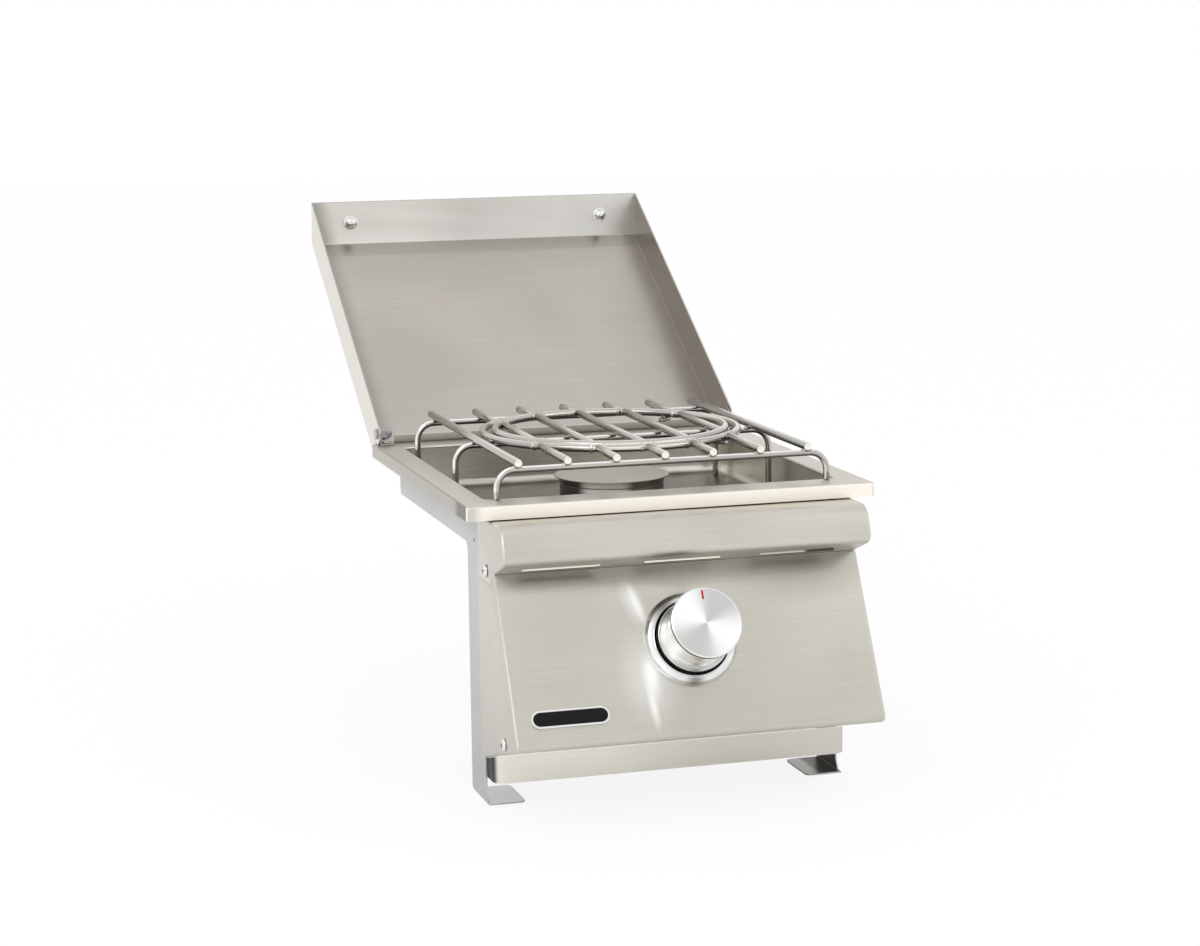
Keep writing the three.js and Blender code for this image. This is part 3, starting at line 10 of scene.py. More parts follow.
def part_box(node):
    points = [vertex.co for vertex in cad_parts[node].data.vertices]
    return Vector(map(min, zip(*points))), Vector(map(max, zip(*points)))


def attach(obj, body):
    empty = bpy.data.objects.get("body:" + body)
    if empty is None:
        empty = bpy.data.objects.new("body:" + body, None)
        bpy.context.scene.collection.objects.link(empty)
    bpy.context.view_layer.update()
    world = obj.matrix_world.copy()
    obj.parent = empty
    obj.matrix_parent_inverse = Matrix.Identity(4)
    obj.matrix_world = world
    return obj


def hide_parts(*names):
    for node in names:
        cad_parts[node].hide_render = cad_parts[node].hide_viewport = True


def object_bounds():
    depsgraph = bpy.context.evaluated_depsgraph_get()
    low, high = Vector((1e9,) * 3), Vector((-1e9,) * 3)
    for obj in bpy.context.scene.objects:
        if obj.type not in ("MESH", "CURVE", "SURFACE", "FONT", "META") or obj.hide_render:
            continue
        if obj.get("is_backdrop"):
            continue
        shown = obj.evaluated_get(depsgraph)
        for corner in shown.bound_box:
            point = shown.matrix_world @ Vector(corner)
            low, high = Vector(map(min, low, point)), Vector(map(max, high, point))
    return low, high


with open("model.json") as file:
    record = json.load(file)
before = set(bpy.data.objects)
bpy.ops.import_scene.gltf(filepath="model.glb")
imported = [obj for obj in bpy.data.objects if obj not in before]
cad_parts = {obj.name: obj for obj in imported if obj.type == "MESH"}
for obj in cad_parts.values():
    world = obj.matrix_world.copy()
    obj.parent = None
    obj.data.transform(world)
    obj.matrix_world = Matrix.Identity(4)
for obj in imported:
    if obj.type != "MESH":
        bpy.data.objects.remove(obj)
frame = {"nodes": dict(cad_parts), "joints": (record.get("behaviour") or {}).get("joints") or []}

bl_info = {
    "name": "Side Burner Dresser",
    "version": (1, 0, 0),
    "blender": (4, 5, 0),
    "location": "View3D > Sidebar > Side Burner",
    "description": "Finishes, fine pieces, lights and camera for a built-in gas side burner",
    "category": "Object",
}

MM = 0.001
LEFT, RIGHT, FRONT, UP = Vector((-1, 0, 0)), Vector((1, 0, 0)), Vector((0, -1, 0)), Vector((0, 0, 1))
# Middles of the air slots across the header, and the panel's crease above the knob, in millimetres
SLOTS = (-97.0, -0.7, 92.3)
CREASE = 62.0
# Tones of painted highlights, on spots and along a sheet's sharp edges, and the depth of a sheet's grain
WHITE = (1, 1, 1)
BRIGHT = (1, 1, 0.98)
EDGE_HIGHLIGHT = (0.95, 0.95, 0.93, 1)
GRAIN_DEPTH = 0.0002
# Kinds of socket, by how many values they hold
SOCKETS = {1: "NodeSocketFloat", 3: "NodeSocketVector", 4: "NodeSocketColor"}
# Camera of the photograph: place in metres, then yaw, pitch and roll in radians
CAMERA_PLACE = (-0.6457, -2.16352, 0.36567)
CAMERA_TURN = (0.2862, 0.1597, -0.0133)


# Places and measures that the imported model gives


def joint(name):
    """Place and axis of a joint, in metres."""
    for item in frame["joints"]:
        if item["name"] == name:
            return Vector(item["pos_m"]), Vector(item["axis"]).normalized()
    raise RuntimeError(f"the packed model has no joint named {name}")


def panel_place():
    """Matrix of the knob's own frame: +Z leaves the panel and +Y climbs it."""
    origin, outward = joint("knob_turn")
    across = Vector((1, 0, 0))
    up = outward.cross(across)
    turn = Matrix((across, up, outward)).transposed().to_4x4()
    return Matrix.Translation(origin) @ turn


def axis_place(origin, axis):
    """Matrix that stands a turned body on a point, along an axis."""
    turn = Vector((0, 0, 1)).rotation_difference(Vector(axis)).to_matrix().to_4x4()
    return Matrix.Translation(origin) @ turn


def middle(node):
    """Middle of a node's box."""
    low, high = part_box(node)
    return (low + high) / 2


def box_mm(node):
    """Lowest and highest corners of a node, in millimetres."""
    return [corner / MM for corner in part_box(node)]


def reach_along(node, way):
    """Least and greatest distance of a node's vertices along a direction, in millimetres."""
    spots = [way.dot(v.co) / MM for v in frame["nodes"][node].data.vertices]
    return min(spots), max(spots)


def spread_middle(node, keep=lambda spot: True):
    """Mean place of a node's vertices, or of those that pass a test."""
    spots = [v.co for v in frame["nodes"][node].data.vertices if keep(v.co)]
    return sum(spots, Vector()) / len(spots)


# Mesh code


def turns(count):
    """Angles of a full turn in equal steps."""
    return [math.tau * k / count for k in range(count)]


def ring(bm, radius, height, sides):
    """Ring of vertices about +Z, or one vertex on the axis."""
    if radius < 1e-7:
        return [bm.verts.new((0, 0, height))]
    return [bm.verts.new((radius * math.cos(a), radius * math.sin(a), height)) for a in turns(sides)]


def skin(bm, first, second, closed=True):
    """Faces between two rings, either of which may be a single vertex."""
    count = max(len(first), len(second))
    for k in range(count if closed else count - 1):
        after = (k + 1) % count
        corners = [first[k % len(first)], first[after % len(first)]]
        corners += [second[after % len(second)], second[k % len(second)]]
        unique = list(dict.fromkeys(corners))
        if len(unique) > 2:
            bm.faces.new(unique)


def soften(points, steps=5):
    """Line of 2D points; a third value is the radius that rounds a point's corner."""
    line = []
    for i, (x, y, *radius) in enumerate(points):
        here = Vector((x, y))
        if not radius:
            line.append(here)
            continue
        back = Vector(points[i - 1][:2]) - here
        ahead = Vector(points[i + 1][:2]) - here
        half = back.angle(ahead) / 2
        reach = min(radius[0] / math.tan(half), back.length * 0.49, ahead.length * 0.49)
        start = here + back.normalized() * reach
        end = here + ahead.normalized() * reach
        for k in range(steps + 1):
            t = k / steps
            line.append(start * (1 - t) ** 2 + here * 2 * t * (1 - t) + end * t**2)
    return line


def turned(bm, points, sides, place):
    """Body turned about +Z of a place, from its half section of radius, height and corner radius."""
    made = [ring(bm, x * MM, y * MM, sides) for x, y in soften(points)]
    for first, second in zip(made, made[1:]):
        skin(bm, first, second)
    if len(made[0]) > 1 and len(made[-1]) > 1:
        skin(bm, made[-1], made[0])
    bmesh.ops.transform(bm, matrix=place, verts=[v for loop in made for v in loop])


def sweep(bm, points, radius, sides, closed=False):
    """Round bar along a line of points in millimetres, with flat, eased ends where it is open."""
    line = [Vector(p) for p in points]
    count = len(line)
    side = None
    rings = []
    ends = []
    ease = radius * 0.24
    for i, here in enumerate(line):
        before = line[i - 1] if closed or i else here
        after = line[(i + 1) % count] if closed or i < count - 1 else here
        along = (after - before).normalized()
        side = along.orthogonal().normalized() if side is None else side
        side = (side - along * side.dot(along)).normalized()
        other = along.cross(side)

        def loop(size, shift):
            return [
                bm.verts.new((here + along * shift + (side * math.cos(a) + other * math.sin(a)) * size) * MM)
                for a in turns(sides)
            ]

        if closed or 0 < i < count - 1:
            rings.append(loop(radius, 0))
            continue
        inward = ease if i == 0 else -ease
        tip = [bm.verts.new(here * MM)]
        steps = [loop(radius, inward), loop(radius - ease * 0.3, inward * 0.3), loop(radius - ease, 0), tip]
        rings.append(steps[0])
        ends.append(steps)
    if closed:
        rings.append(rings[0])
    for steps in ends:
        for first, second in zip(steps, steps[1:]):
            skin(bm, first, second)
    for first, second in zip(rings, rings[1:]):
        skin(bm, first, second)


def bent(corners, bend, steps=7):
    """Line of points with round bends, in millimetres."""
    line = [Vector(corners[0])]
    for before, here, after in zip(corners, corners[1:], corners[2:]):
        here = Vector(here)
        arriving = (here - Vector(before)).normalized()
        leaving = (Vector(after) - here).normalized()
        turn = arriving.angle(leaving)
        axis = arriving.cross(leaving).normalized()
        start = here - arriving * bend * math.tan(turn / 2)
        outward = arriving.cross(axis)
        centre = start - outward * bend
        for k in range(steps + 1):
            line.append(centre + (Matrix.Rotation(turn * k / steps, 3, axis) @ outward) * bend)
    line.append(Vector(corners[-1]))
    return line


def bead(bm, place, size, seed, turn=0.0):
    """Small uneven weld bead in millimetres, turned about +Z."""
    made = bmesh.ops.create_uvsphere(bm, u_segments=12, v_segments=8, radius=1)["verts"]
    lean = Matrix.Rotation(turn, 3, "Z")
    for vert in made:
        lump = 1 + 0.16 * noise.noise(vert.co * 1.7 + Vector((seed, seed * 0.37, 0)))
        vert.co = (Vector(place) + lean @ Vector([c * s for c, s in zip(vert.co, size)]) * lump) * MM


def ring_line(radius, height, steps=96):
    """Closed round line of points in millimetres."""
    return [(radius * math.cos(a), radius * math.sin(a), height) for a in turns(steps)]


def block(bm, low, high, place, edge=0.0):
    """Box between two corners in millimetres, with its edges eased."""
    made = bmesh.ops.create_cube(bm, size=1)["verts"]
    low, high = Vector(low), Vector(high)
    for vert in made:
        vert.co = Vector([(a + (b - a) * (c + 0.5)) * MM for a, b, c in zip(low, high, vert.co)])
    if edge > 0:
        edges = list({e for v in made for e in v.link_edges})
        out = bmesh.ops.bevel(bm, geom=edges, offset=edge * MM, segments=2, affect="EDGES", profile=0.5)
        made = list({v for f in out["faces"] for v in f.verts})
    bmesh.ops.transform(bm, matrix=place, verts=made)


def new_object(name, data):
    """Object in the scene, with the given data or with a mesh made from mesh code."""
    if isinstance(data, bmesh.types.BMesh):
        mesh = bpy.data.meshes.new(name)
        data.to_mesh(mesh)
        data.free()
        data = mesh
    item = bpy.data.objects.new(name, data)
    bpy.context.scene.collection.objects.link(item)
    return item


def finish_piece(name, bm, look, body, nodes=(), slot=None, sharp=32):
    """Turns mesh code into a piece that rides on a body and stands for its CAD nodes."""
    bmesh.ops.recalc_face_normals(bm, faces=bm.faces)
    piece = new_object(name, bm)
    piece.data.materials.append(finish(look))
    piece.data.shade_smooth()
    piece.data.set_sharp_from_angle(angle=math.radians(sharp))
    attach(piece, body)
    if nodes:
        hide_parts(*nodes)


def turned_piece(name, points, sides, place, *rest, sharp=40):
    """Turned body that is a piece of its own."""
    bm = bmesh.new()
    turned(bm, points, sides, place)
    finish_piece(name, bm, *rest, sharp=sharp)


# Shader groups


def linear(text):
    """Linear colour of a six-digit sRGB code."""
    parts = [int(text[i : i + 2], 16) / 255 for i in (0, 2, 4)]
    return tuple(c / 12.92 if c <= 0.04045 else ((c + 0.055) / 1.055) ** 2.4 for c in parts)


def add(tree, kind, inputs=None, **settings):
    """Node with its settings, and its inputs filled by values or links."""
    item = tree.nodes.new(kind)
    for key, value in settings.items():
        setattr(item, key, value)
    for key, value in (inputs or {}).items():
        if isinstance(value, bpy.types.NodeSocket):
            tree.links.new(value, item.inputs[key])
        else:
            item.inputs[key].default_value = value
    return item


def number(tree, operation, *values):
    """Output of a Math node."""
    return add(tree, "ShaderNodeMath", dict(enumerate(values)), operation=operation).outputs[0]


def vector(tree, operation, *values):
    """Output of a Vector Math node: a number for a dot product, a vector otherwise."""
    item = add(tree, "ShaderNodeVectorMath", dict(enumerate(values)), operation=operation)
    return item.outputs["Value" if operation == "DOT_PRODUCT" else "Vector"]


def step(tree, value, low, high, kind="SMOOTHSTEP"):
    """Step from 0 to 1 between two values, soft or LINEAR."""
    ends = {"Value": value, "From Min": low, "From Max": high}
    return add(tree, "ShaderNodeMapRange", ends, interpolation_type=kind).outputs[0]


def blend(tree, share, first, second):
    """Colour between two colours, which are the seventh and eighth inputs of a Mix node."""
    return add(tree, "ShaderNodeMix", {"Factor": share, 6: first, 7: second}, data_type="RGBA").outputs[2]


def noise_at(tree, **values):
    """Noise in the piece's own space, or at a given vector."""
    if "Vector" not in values:
        values["Vector"] = own_place(tree)
    return add(tree, "ShaderNodeTexNoise", values).outputs[0]


def own_place(tree):
    """Place of a point in the piece's own space."""
    return add(tree, "ShaderNodeTexCoord").outputs["Object"]


def shader_group(name, inputs, output, fill):
    """Shader group with named inputs and one output, filled by a function on first use."""
    if name in bpy.data.node_groups:
        return bpy.data.node_groups[name]
    tree = bpy.data.node_groups.new(name, "ShaderNodeTree")
    for label, default in inputs.items():
        size = len(default) if isinstance(default, tuple) else 1
        item = tree.interface.new_socket(label, in_out="INPUT", socket_type=SOCKETS[size])
        item.default_value = default
    label, size = output
    tree.interface.new_socket(label, in_out="OUTPUT", socket_type=SOCKETS[size])
    given = tree.nodes.new("NodeGroupInput")
    out = tree.nodes.new("NodeGroupOutput")
    tree.links.new(fill(tree, given.outputs), out.inputs[label])
    return tree


def use(tree, kind, values=None):
    """Output of a shader group placed in a tree."""
    return add(tree, "ShaderNodeGroup", values, node_tree=kind).outputs[0]


def grain_group():
    """Fine lines of a brushed sheet: a stretched noise in the piece's own space."""

    def fill(tree, given):
        stretched = vector(tree, "MULTIPLY", own_place(tree), given["Stretch"])
        return noise_at(tree, Vector=stretched, Scale=1.0, Detail=3.0, Roughness=0.6)

    return shader_group("Brushed Grain", {"Stretch": (30, 900, 900)}, ("Grain", 1), fill)


def tone_group():
    """Broad, slow changes of tone between two colours, darkened along the grain."""

    def fill(tree, given):
        cloud = noise_at(tree, Scale=given["Size"], Detail=1.5, Roughness=0.4)
        broad = blend(tree, step(tree, cloud, 0.35, 0.65), given["Colour"], given["Other Colour"])
        line = step(tree, given["Grain"], 0.7, 0.3, "LINEAR")
        keep = number(tree, "SUBTRACT", 1.0, number(tree, "MULTIPLY", line, given["Grain Share"]))
        return add(tree, "ShaderNodeVectorMath", {0: broad, "Scale": keep}, operation="SCALE").outputs[0]

    greys = {"Colour": (0.5, 0.5, 0.5, 1), "Other Colour": (0.4, 0.4, 0.4, 1)}
    values = {**greys, "Size": 9.0, "Grain": 0.5, "Grain Share": 0.1}
    return shader_group("Slow Tone", values, ("Colour", 4), fill)


def wear_group():
    """Roughness with handling smears."""

    def fill(tree, given):
        centred = number(tree, "SUBTRACT", noise_at(tree, Scale=given["Size"], Detail=4.0), 0.5)
        doubled = number(tree, "MULTIPLY", number(tree, "MULTIPLY", centred, given["Change"]), 2.0)
        return number(tree, "ADD", doubled, given["Roughness"])

    values = {"Roughness": 0.3, "Change": 0.06, "Size": 45.0}
    return shader_group("Handling Wear", values, ("Roughness", 1), fill)


def edge_group():
    """Mask of a piece's sharp edges, from how far a rounded normal leans off the true one."""

    def fill(tree, given):
        soft = add(tree, "ShaderNodeBevel", {"Radius": given["Width"]}, samples=6).outputs["Normal"]
        true = add(tree, "ShaderNodeNewGeometry").outputs["Normal"]
        return step(tree, vector(tree, "DOT_PRODUCT", soft, true), 0.985, 0.9, "LINEAR")

    return shader_group("Edge Mask", {"Width": 0.0012}, ("Mask", 1), fill)


def zone(direction, level, softness):
    """Mask of what lies past a plane, in millimetres along a direction."""

    def fill(tree, given):
        along = vector(tree, "DOT_PRODUCT", own_place(tree), given["Direction"])
        low = number(tree, "SUBTRACT", given["Level"], given["Softness"])
        return step(tree, along, low, number(tree, "ADD", given["Level"], given["Softness"]))

    values = {"Direction": (0, 0, 1), "Level": 0.0, "Softness": 0.01}
    kind = shader_group("Zone Mask", values, ("Mask", 1), fill)
    return kind, {"Direction": direction, "Level": level * MM, "Softness": softness * MM}


def facing(direction, start, end):
    """Mask of the faces that look along a direction."""

    def fill(tree, given):
        normal = add(tree, "ShaderNodeTexCoord").outputs["Normal"]
        lean = vector(tree, "DOT_PRODUCT", normal, given["Direction"])
        return step(tree, lean, given["From"], given["To"])

    values = {"Direction": (0, 0, 1), "From": 0.5, "To": 0.8}
    kind = shader_group("Facing Mask", values, ("Mask", 1), fill)
    return kind, {"Direction": direction, "From": start, "To": end}


def spot(place, x, y, width, height, turn=0.0):
    """Mask of a soft oval on a face, in millimetres in the frame of a place; turn leans it."""

    def fill(tree, given):
        away = vector(tree, "SUBTRACT", own_place(tree), given["Centre"])
        parts = []
        for way, size in (("Across", "Width"), ("Up", "Height")):
            share = number(tree, "DIVIDE", vector(tree, "DOT_PRODUCT", away, given[way]), given[size])
            parts.append(number(tree, "POWER", share, 2.0))
        return step(tree, number(tree, "SQRT", number(tree, "ADD", *parts)), 1.0, 0.0)

    across = place.to_3x3() @ Vector((math.cos(turn), math.sin(turn), 0))
    up = place.to_3x3() @ Vector((-math.sin(turn), math.cos(turn), 0))
    values = {"Centre": (0, 0, 0), "Across": (1, 0, 0), "Up": (0, 0, 1), "Width": 0.01, "Height": 0.01}
    kind = shader_group("Spot Mask", values, ("Mask", 1), fill)
    centre = place @ Vector((x * MM, y * MM, 0))
    return kind, {"Centre": centre, "Across": across, "Up": up, "Width": width * MM, "Height": height * MM}


def spun(place, wedges, turn):
    """Mask of wedges about the axis of a place, used to paint the reflections that a turned finish shows."""

    def fill(tree, given):
        away = vector(tree, "SUBTRACT", own_place(tree), given["Centre"])
        sides = [vector(tree, "DOT_PRODUCT", away, given[way]) for way in ("Up", "Across")]
        angle = number(tree, "SUBTRACT", number(tree, "ARCTAN2", *sides), given["Turn"])
        wave = number(tree, "COSINE", number(tree, "MULTIPLY", angle, given["Wedges"]))
        return step(tree, wave, -0.4, 1.0)

    values = {"Centre": (0, 0, 0), "Across": (1, 0, 0), "Up": (0, 1, 0), "Wedges": 2.0, "Turn": 0.0}
    kind = shader_group("Spun Mask", values, ("Mask", 1), fill)
    sides = place.to_3x3().col
    about = {"Centre": place.translation, "Across": sides[0], "Up": sides[1]}
    return kind, {**about, "Wedges": wedges, "Turn": turn}


def masked(tree, masks, strength):
    """Product of several masks and a strength."""
    value = strength
    for kind, values in masks:
        value = number(tree, "MULTIPLY", use(tree, kind, values), value)
    return value


# Materials


def shade(base, tint):
    """Colour given as a six-digit sRGB code, as a share of a base colour, or by its own values."""
    if isinstance(tint, str):
        return linear(tint)
    if isinstance(tint, (int, float)):
        return tuple(min(c * tint, 1) for c in base)
    return tint


def new_surface(name):
    """New material, its node tree and its main shader's inputs."""
    material = bpy.data.materials.new(name)
    material.use_nodes = True
    return material, material.node_tree, material.node_tree.nodes["Principled BSDF"].inputs


def toned(tree, colour, other, **values):
    """Colour of a surface with slow changes of tone."""
    return use(tree, tone_group(), {"Colour": (*colour, 1), "Other Colour": (*other, 1), **values})


def worn(tree, surface, roughness, change):
    """Gives a surface its roughness with handling smears."""
    smears = use(tree, wear_group(), {"Roughness": roughness, "Change": change})
    tree.links.new(smears, surface["Roughness"])


def metal(
    name, colour, other, roughness, stretch, share, layers, bump=0, edge=0, change=0.06, streak=0, metallic=1
):
    """Bare metal with a brushed grain, slow tone, handling wear, layers of tint, strength and masks that
    mostly paint light and shade, and a painted highlight on sharp edges.
    """
    material, tree, surface = new_surface(name)
    surface["Metallic"].default_value = metallic
    surface["Anisotropic"].default_value = streak
    surface["Anisotropic Rotation"].default_value = 0.25
    grain = use(tree, grain_group(), {"Stretch": stretch})
    shown = toned(tree, colour, shade(colour, other), **{"Grain": grain, "Grain Share": share})
    worn(tree, surface, roughness, change)
    for tint, strength, *masks in layers:
        shown = blend(tree, masked(tree, masks, strength), shown, (*shade(colour, tint), 1))
    # Lightens sharp edges: a painted highlight.
    if edge > 0:
        shown = blend(tree, number(tree, "MULTIPLY", use(tree, edge_group()), edge), shown, EDGE_HIGHLIGHT)
    tree.links.new(shown, surface["Base Color"])
    if bump > 0:
        relief = {"Height": grain, "Strength": bump, "Distance": GRAIN_DEPTH}
        tree.links.new(add(tree, "ShaderNodeBump", relief).outputs["Normal"], surface["Normal"])
    return material


def plain(name, colour, roughness):
    """Paint, plastic or ceramic with small changes of tone and gloss."""
    material, tree, surface = new_surface(name)
    surface["Specular IOR Level"].default_value = 0.18
    shown = toned(tree, colour, shade(colour, 0.8), **{"Size": 60.0, "Grain Share": 0.0})
    tree.links.new(shown, surface["Base Color"])
    worn(tree, surface, roughness, 0.05)
    return material


def shade_bends():
    """Modifier group that shades a sheet's bends smooth and keeps its edges sharp."""
    if "Smooth Bends" in bpy.data.node_groups:
        return bpy.data.node_groups["Smooth Bends"]
    tree = bpy.data.node_groups.new("Smooth Bends", "GeometryNodeTree")
    for way in ("INPUT", "OUTPUT"):
        tree.interface.new_socket("Geometry", in_out=way, socket_type="NodeSocketGeometry")
    given = tree.nodes.new("NodeGroupInput").outputs[0]
    weld = add(tree, "GeometryNodeMergeByDistance", {"Geometry": given, "Distance": 0.00001}).outputs[0]
    faces = add(tree, "GeometryNodeSetShadeSmooth", {"Geometry": weld}, domain="FACE").outputs[0]
    angle = add(tree, "GeometryNodeInputMeshEdgeAngle").outputs["Unsigned Angle"]
    limit = {0: angle, 1: math.radians(30)}
    sharp = add(tree, "FunctionNodeCompare", limit, data_type="FLOAT", operation="GREATER_THAN").outputs[0]
    values = {"Geometry": faces, "Selection": sharp, "Shade Smooth": False}
    edges = add(tree, "GeometryNodeSetShadeSmooth", values, domain="EDGE").outputs[0]
    tree.links.new(edges, tree.nodes.new("NodeGroupOutput").inputs[0])
    return tree


def dress(look, *nodes):
    """Gives CAD nodes a finish and smooth bends."""
    material = finish(look)
    for name in nodes:
        piece = frame["nodes"][name]
        if not piece.material_slots:
            piece.data.materials.append(None)
        for item in piece.material_slots:
            item.link = "OBJECT"
            item.material = material
        smoother = piece.modifiers.new("Smooth Bends", "NODES")
        smoother.node_group = shade_bends()


# Settings


def colour_setting(name, description, code):
    """Colour setting with a six-digit sRGB code as its default."""
    return FloatVectorProperty(
        name=name, description=description, default=linear(code), min=0, max=1, subtype="COLOR"
    )


def length_setting(name, description, default, low, high):
    """Length setting in metres."""
    return FloatProperty(
        name=name, description=description, default=default, min=low, max=high, unit="LENGTH"
    )


class SideBurnerSheets(bpy.types.PropertyGroup):
    """Colours of the sheet metal."""

    panel_colour: colour_setting("Panel", "Brushed steel of the panel", "CFCCC2")
    header_colour: colour_setting("Header", "Brushed steel of the header", "D4D0C8")
    rim_colour: colour_setting("Rim", "Brushed steel of the rim", "D9D4CB")
    side_colour: colour_setting("Sides", "Cooler steel of the side plates", "C4C8C5")
    lid_colour: colour_setting("Lid", "Warmer steel of the lid", "C4BEB7")
    pan_colour: colour_setting("Pan", "Steel of the burner pan", "F4F1E6")
    apron_colour: colour_setting("Apron", "Pale steel of the lower apron", "EFECE3")
    roughness: FloatProperty(
        name="Roughness", description="How dull the sheets are", default=0.34, min=0, max=1, subtype="FACTOR"
    )


class SideBurnerGrate(bpy.types.PropertyGroup):
    """Rods of the grate and of its round insert."""

    rod_radius: length_setting("Rod Radius", "Radius of the grate rods", 0.0032, 0.001, 0.008)
    wire_radius: length_setting("Wire Radius", "Radius of the supports", 0.0025, 0.001, 0.008)
    bend: length_setting("Bend", "Bend radius of the supports", 0.014, 0.005, 0.03)
    peg_radius: length_setting("Peg Radius", "Radius of the pegs that carry the insert", 0.0022, 0.001, 0.003)
    bead_size: length_setting("Bead Size", "Half length of a weld bead", 0.0044, 0.001, 0.01)
    sides: IntProperty(name="Sides", description="Facets around a rod", default=20, min=8, max=64)
    colour: colour_setting("Rods", "Polished rod steel", "C6C3BD")


class SideBurnerKnob(bpy.types.PropertyGroup):
    """Knob, its bezel and the trim on the panel."""

    face_radius: length_setting("Face Radius", "Radius of the knob's face", 0.0275, 0.01, 0.05)
    waist_radius: length_setting("Waist Radius", "Radius behind the face", 0.026, 0.01, 0.05)
    height: length_setting("Height", "How far the knob stands off the panel", 0.046, 0.01, 0.08)
    chrome_colour: colour_setting("Chrome", "Polished chrome", "EBEBEA")
    pointer_colour: colour_setting("Pointer", "Painted pointer line", "B4222E")


class SideBurnerHandle(bpy.types.PropertyGroup):
    """Round handle of the lid."""

    bar_radius: length_setting("Bar Radius", "Radius of the handle bar", 0.00635, 0.003, 0.01)
    post_radius: length_setting("Post Radius", "Radius of the two posts", 0.0055, 0.002, 0.008)
    nut_height: length_setting("Nut Height", "Height of a domed nut over the sheet", 0.0065, 0.004, 0.01)
    washer_radius: length_setting("Washer Radius", "Radius of the washer below a nut", 0.0068, 0.004, 0.01)


class SideBurnerStage(bpy.types.PropertyGroup):
    """Floor, lights and camera."""

    floor_colour: FloatVectorProperty(
        name="Floor", description="Pale floor", subtype="COLOR", default=(0.97, 0.97, 0.97), min=0, max=1
    )
    floor_glow: FloatProperty(
        name="Floor Glow", description="Share of white that the camera sees", default=0.85, min=0, max=1
    )
    room_strength: FloatProperty(
        name="Room Light", description="Light of the pale room", default=1.0, min=0, max=5
    )
    key_power: FloatProperty(
        name="Key Light", description="Light from the upper left", default=10, min=0, max=500, unit="POWER"
    )
    fill_power: FloatProperty(
        name="Fill Light", description="Light from the right", default=2, min=0, max=500, unit="POWER"
    )
    lens: length_setting("Lens", "Focal length of the camera", 0.08296, 0.01, 0.5)


def settings():
    """All settings of the side burner."""
    return bpy.context.scene.side_burner


# Shared finishes. A layer is a tint, its strength and the masks that bound it; most layers paint light and
# shade


def panel_layers():
    """Painted shade in a strip under the header and in a patch at the right, and painted highlights beside
    and below the bezel, where the bezel's reflection falls.
    """
    place = panel_place()
    return [
        (0.67, 1, spot(place, 100, CREASE - 8, 85, 40)),
        (0.8, 0.6, spot(place, 0, CREASE, 300, 24)),
        (BRIGHT, 0.5, spot(place, -41, 32, 11, 26, turn=0.27)),
        (BRIGHT, 1, spot(place, -38, 31, 5, 22, turn=0.27)),
        (BRIGHT, 0.45, spot(place, -37, -26, 30, 48)),
        (BRIGHT, 1, spot(place, -35, -28, 9, 26)),
        (BRIGHT, 0.9, spot(place, -37, -48, 5, 26, turn=0.06)),
    ]


def header_layers():
    """Painted shade on the underside of the bullnose."""
    underside = Vector((0, -0.343, -0.939))
    return [(0.74, 1, facing(underside, 0.7, 0.97))]


def rim_layers():
    """Painted light on the front edge, painted shade on the left edge that deepens towards the front corner,
    and a painted shadow line along the left top edge.
    """
    front, left = facing(FRONT, 0.5, 0.9), facing(LEFT, 0.5, 0.9)
    return [
        (1.4, 1, front),
        (0.95, 1, front, zone(LEFT, 156, 6)),
        (0.72, 1, left),
        (0.38, 1, left, zone(FRONT, 140, 8)),
        (0.35, 1, facing(UP, 0.6, 0.9), zone(LEFT, 163.6, 0.5)),
    ]


def lid_layers():
    """Painted light on the front slope and left flange, and painted shade in strips inside the folds, at the
    slope's left end and on the right flange.
    """
    slope = facing(Vector((0, -1, -0.02)), 0.93, 0.99)
    inside = facing(Vector((0, -0.529, 0.848)), 0.9, 0.98)
    flange = facing(LEFT, 0.6, 0.9)
    return [
        ("DAD8D2", 1, slope),
        ("F3F1EB", 0.8, slope, zone(LEFT, 40, 40)),
        (0.7, 1, slope, zone(Vector((-1, 0, -0.29)), 94, 12)),
        (0.8, 1, inside, zone(UP, 154, 0.8)),
        (0.58, 1, inside, zone(LEFT, 145, 11)),
        ("C9CCC4", 1, facing(Vector((0, -0.848, -0.529)), 0.9, 0.98)),
        (0.6, 1, flange, zone(RIGHT, 100, 10)),
        (1.35, 1, flange, zone(LEFT, 100, 10)),
    ]


def side_layers():
    """Painted shade along the top, under the rim."""
    return [(0.74, 1, zone(UP, -18, 10))]


def right_side_layers():
    """Painted shade on the inner face of the right leg and on its foot, deepest at the back of the foot."""
    foot = facing(UP, 0.4, 0.8), zone(-UP, 190, 6)
    return [
        ("4A4740", 1, facing(LEFT, 0.4, 0.8), zone(-UP, 180, 6)),
        ("8C8A84", 0.9, *foot),
        ("34322D", 0.95, *foot, zone(RIGHT, 128, 3)),
    ]


def pan_layers():
    """Painted shade on the floor of the pan."""
    return [(0.18, 1, facing(UP, 0.5, 0.95))]


def apron_layers():
    """Greyer towards the right, and painted shade round the left corner."""
    return [(0.72, 1, zone(RIGHT, -20, 90)), ("2E2C28", 1, facing(LEFT, 0.6, 1.0))]


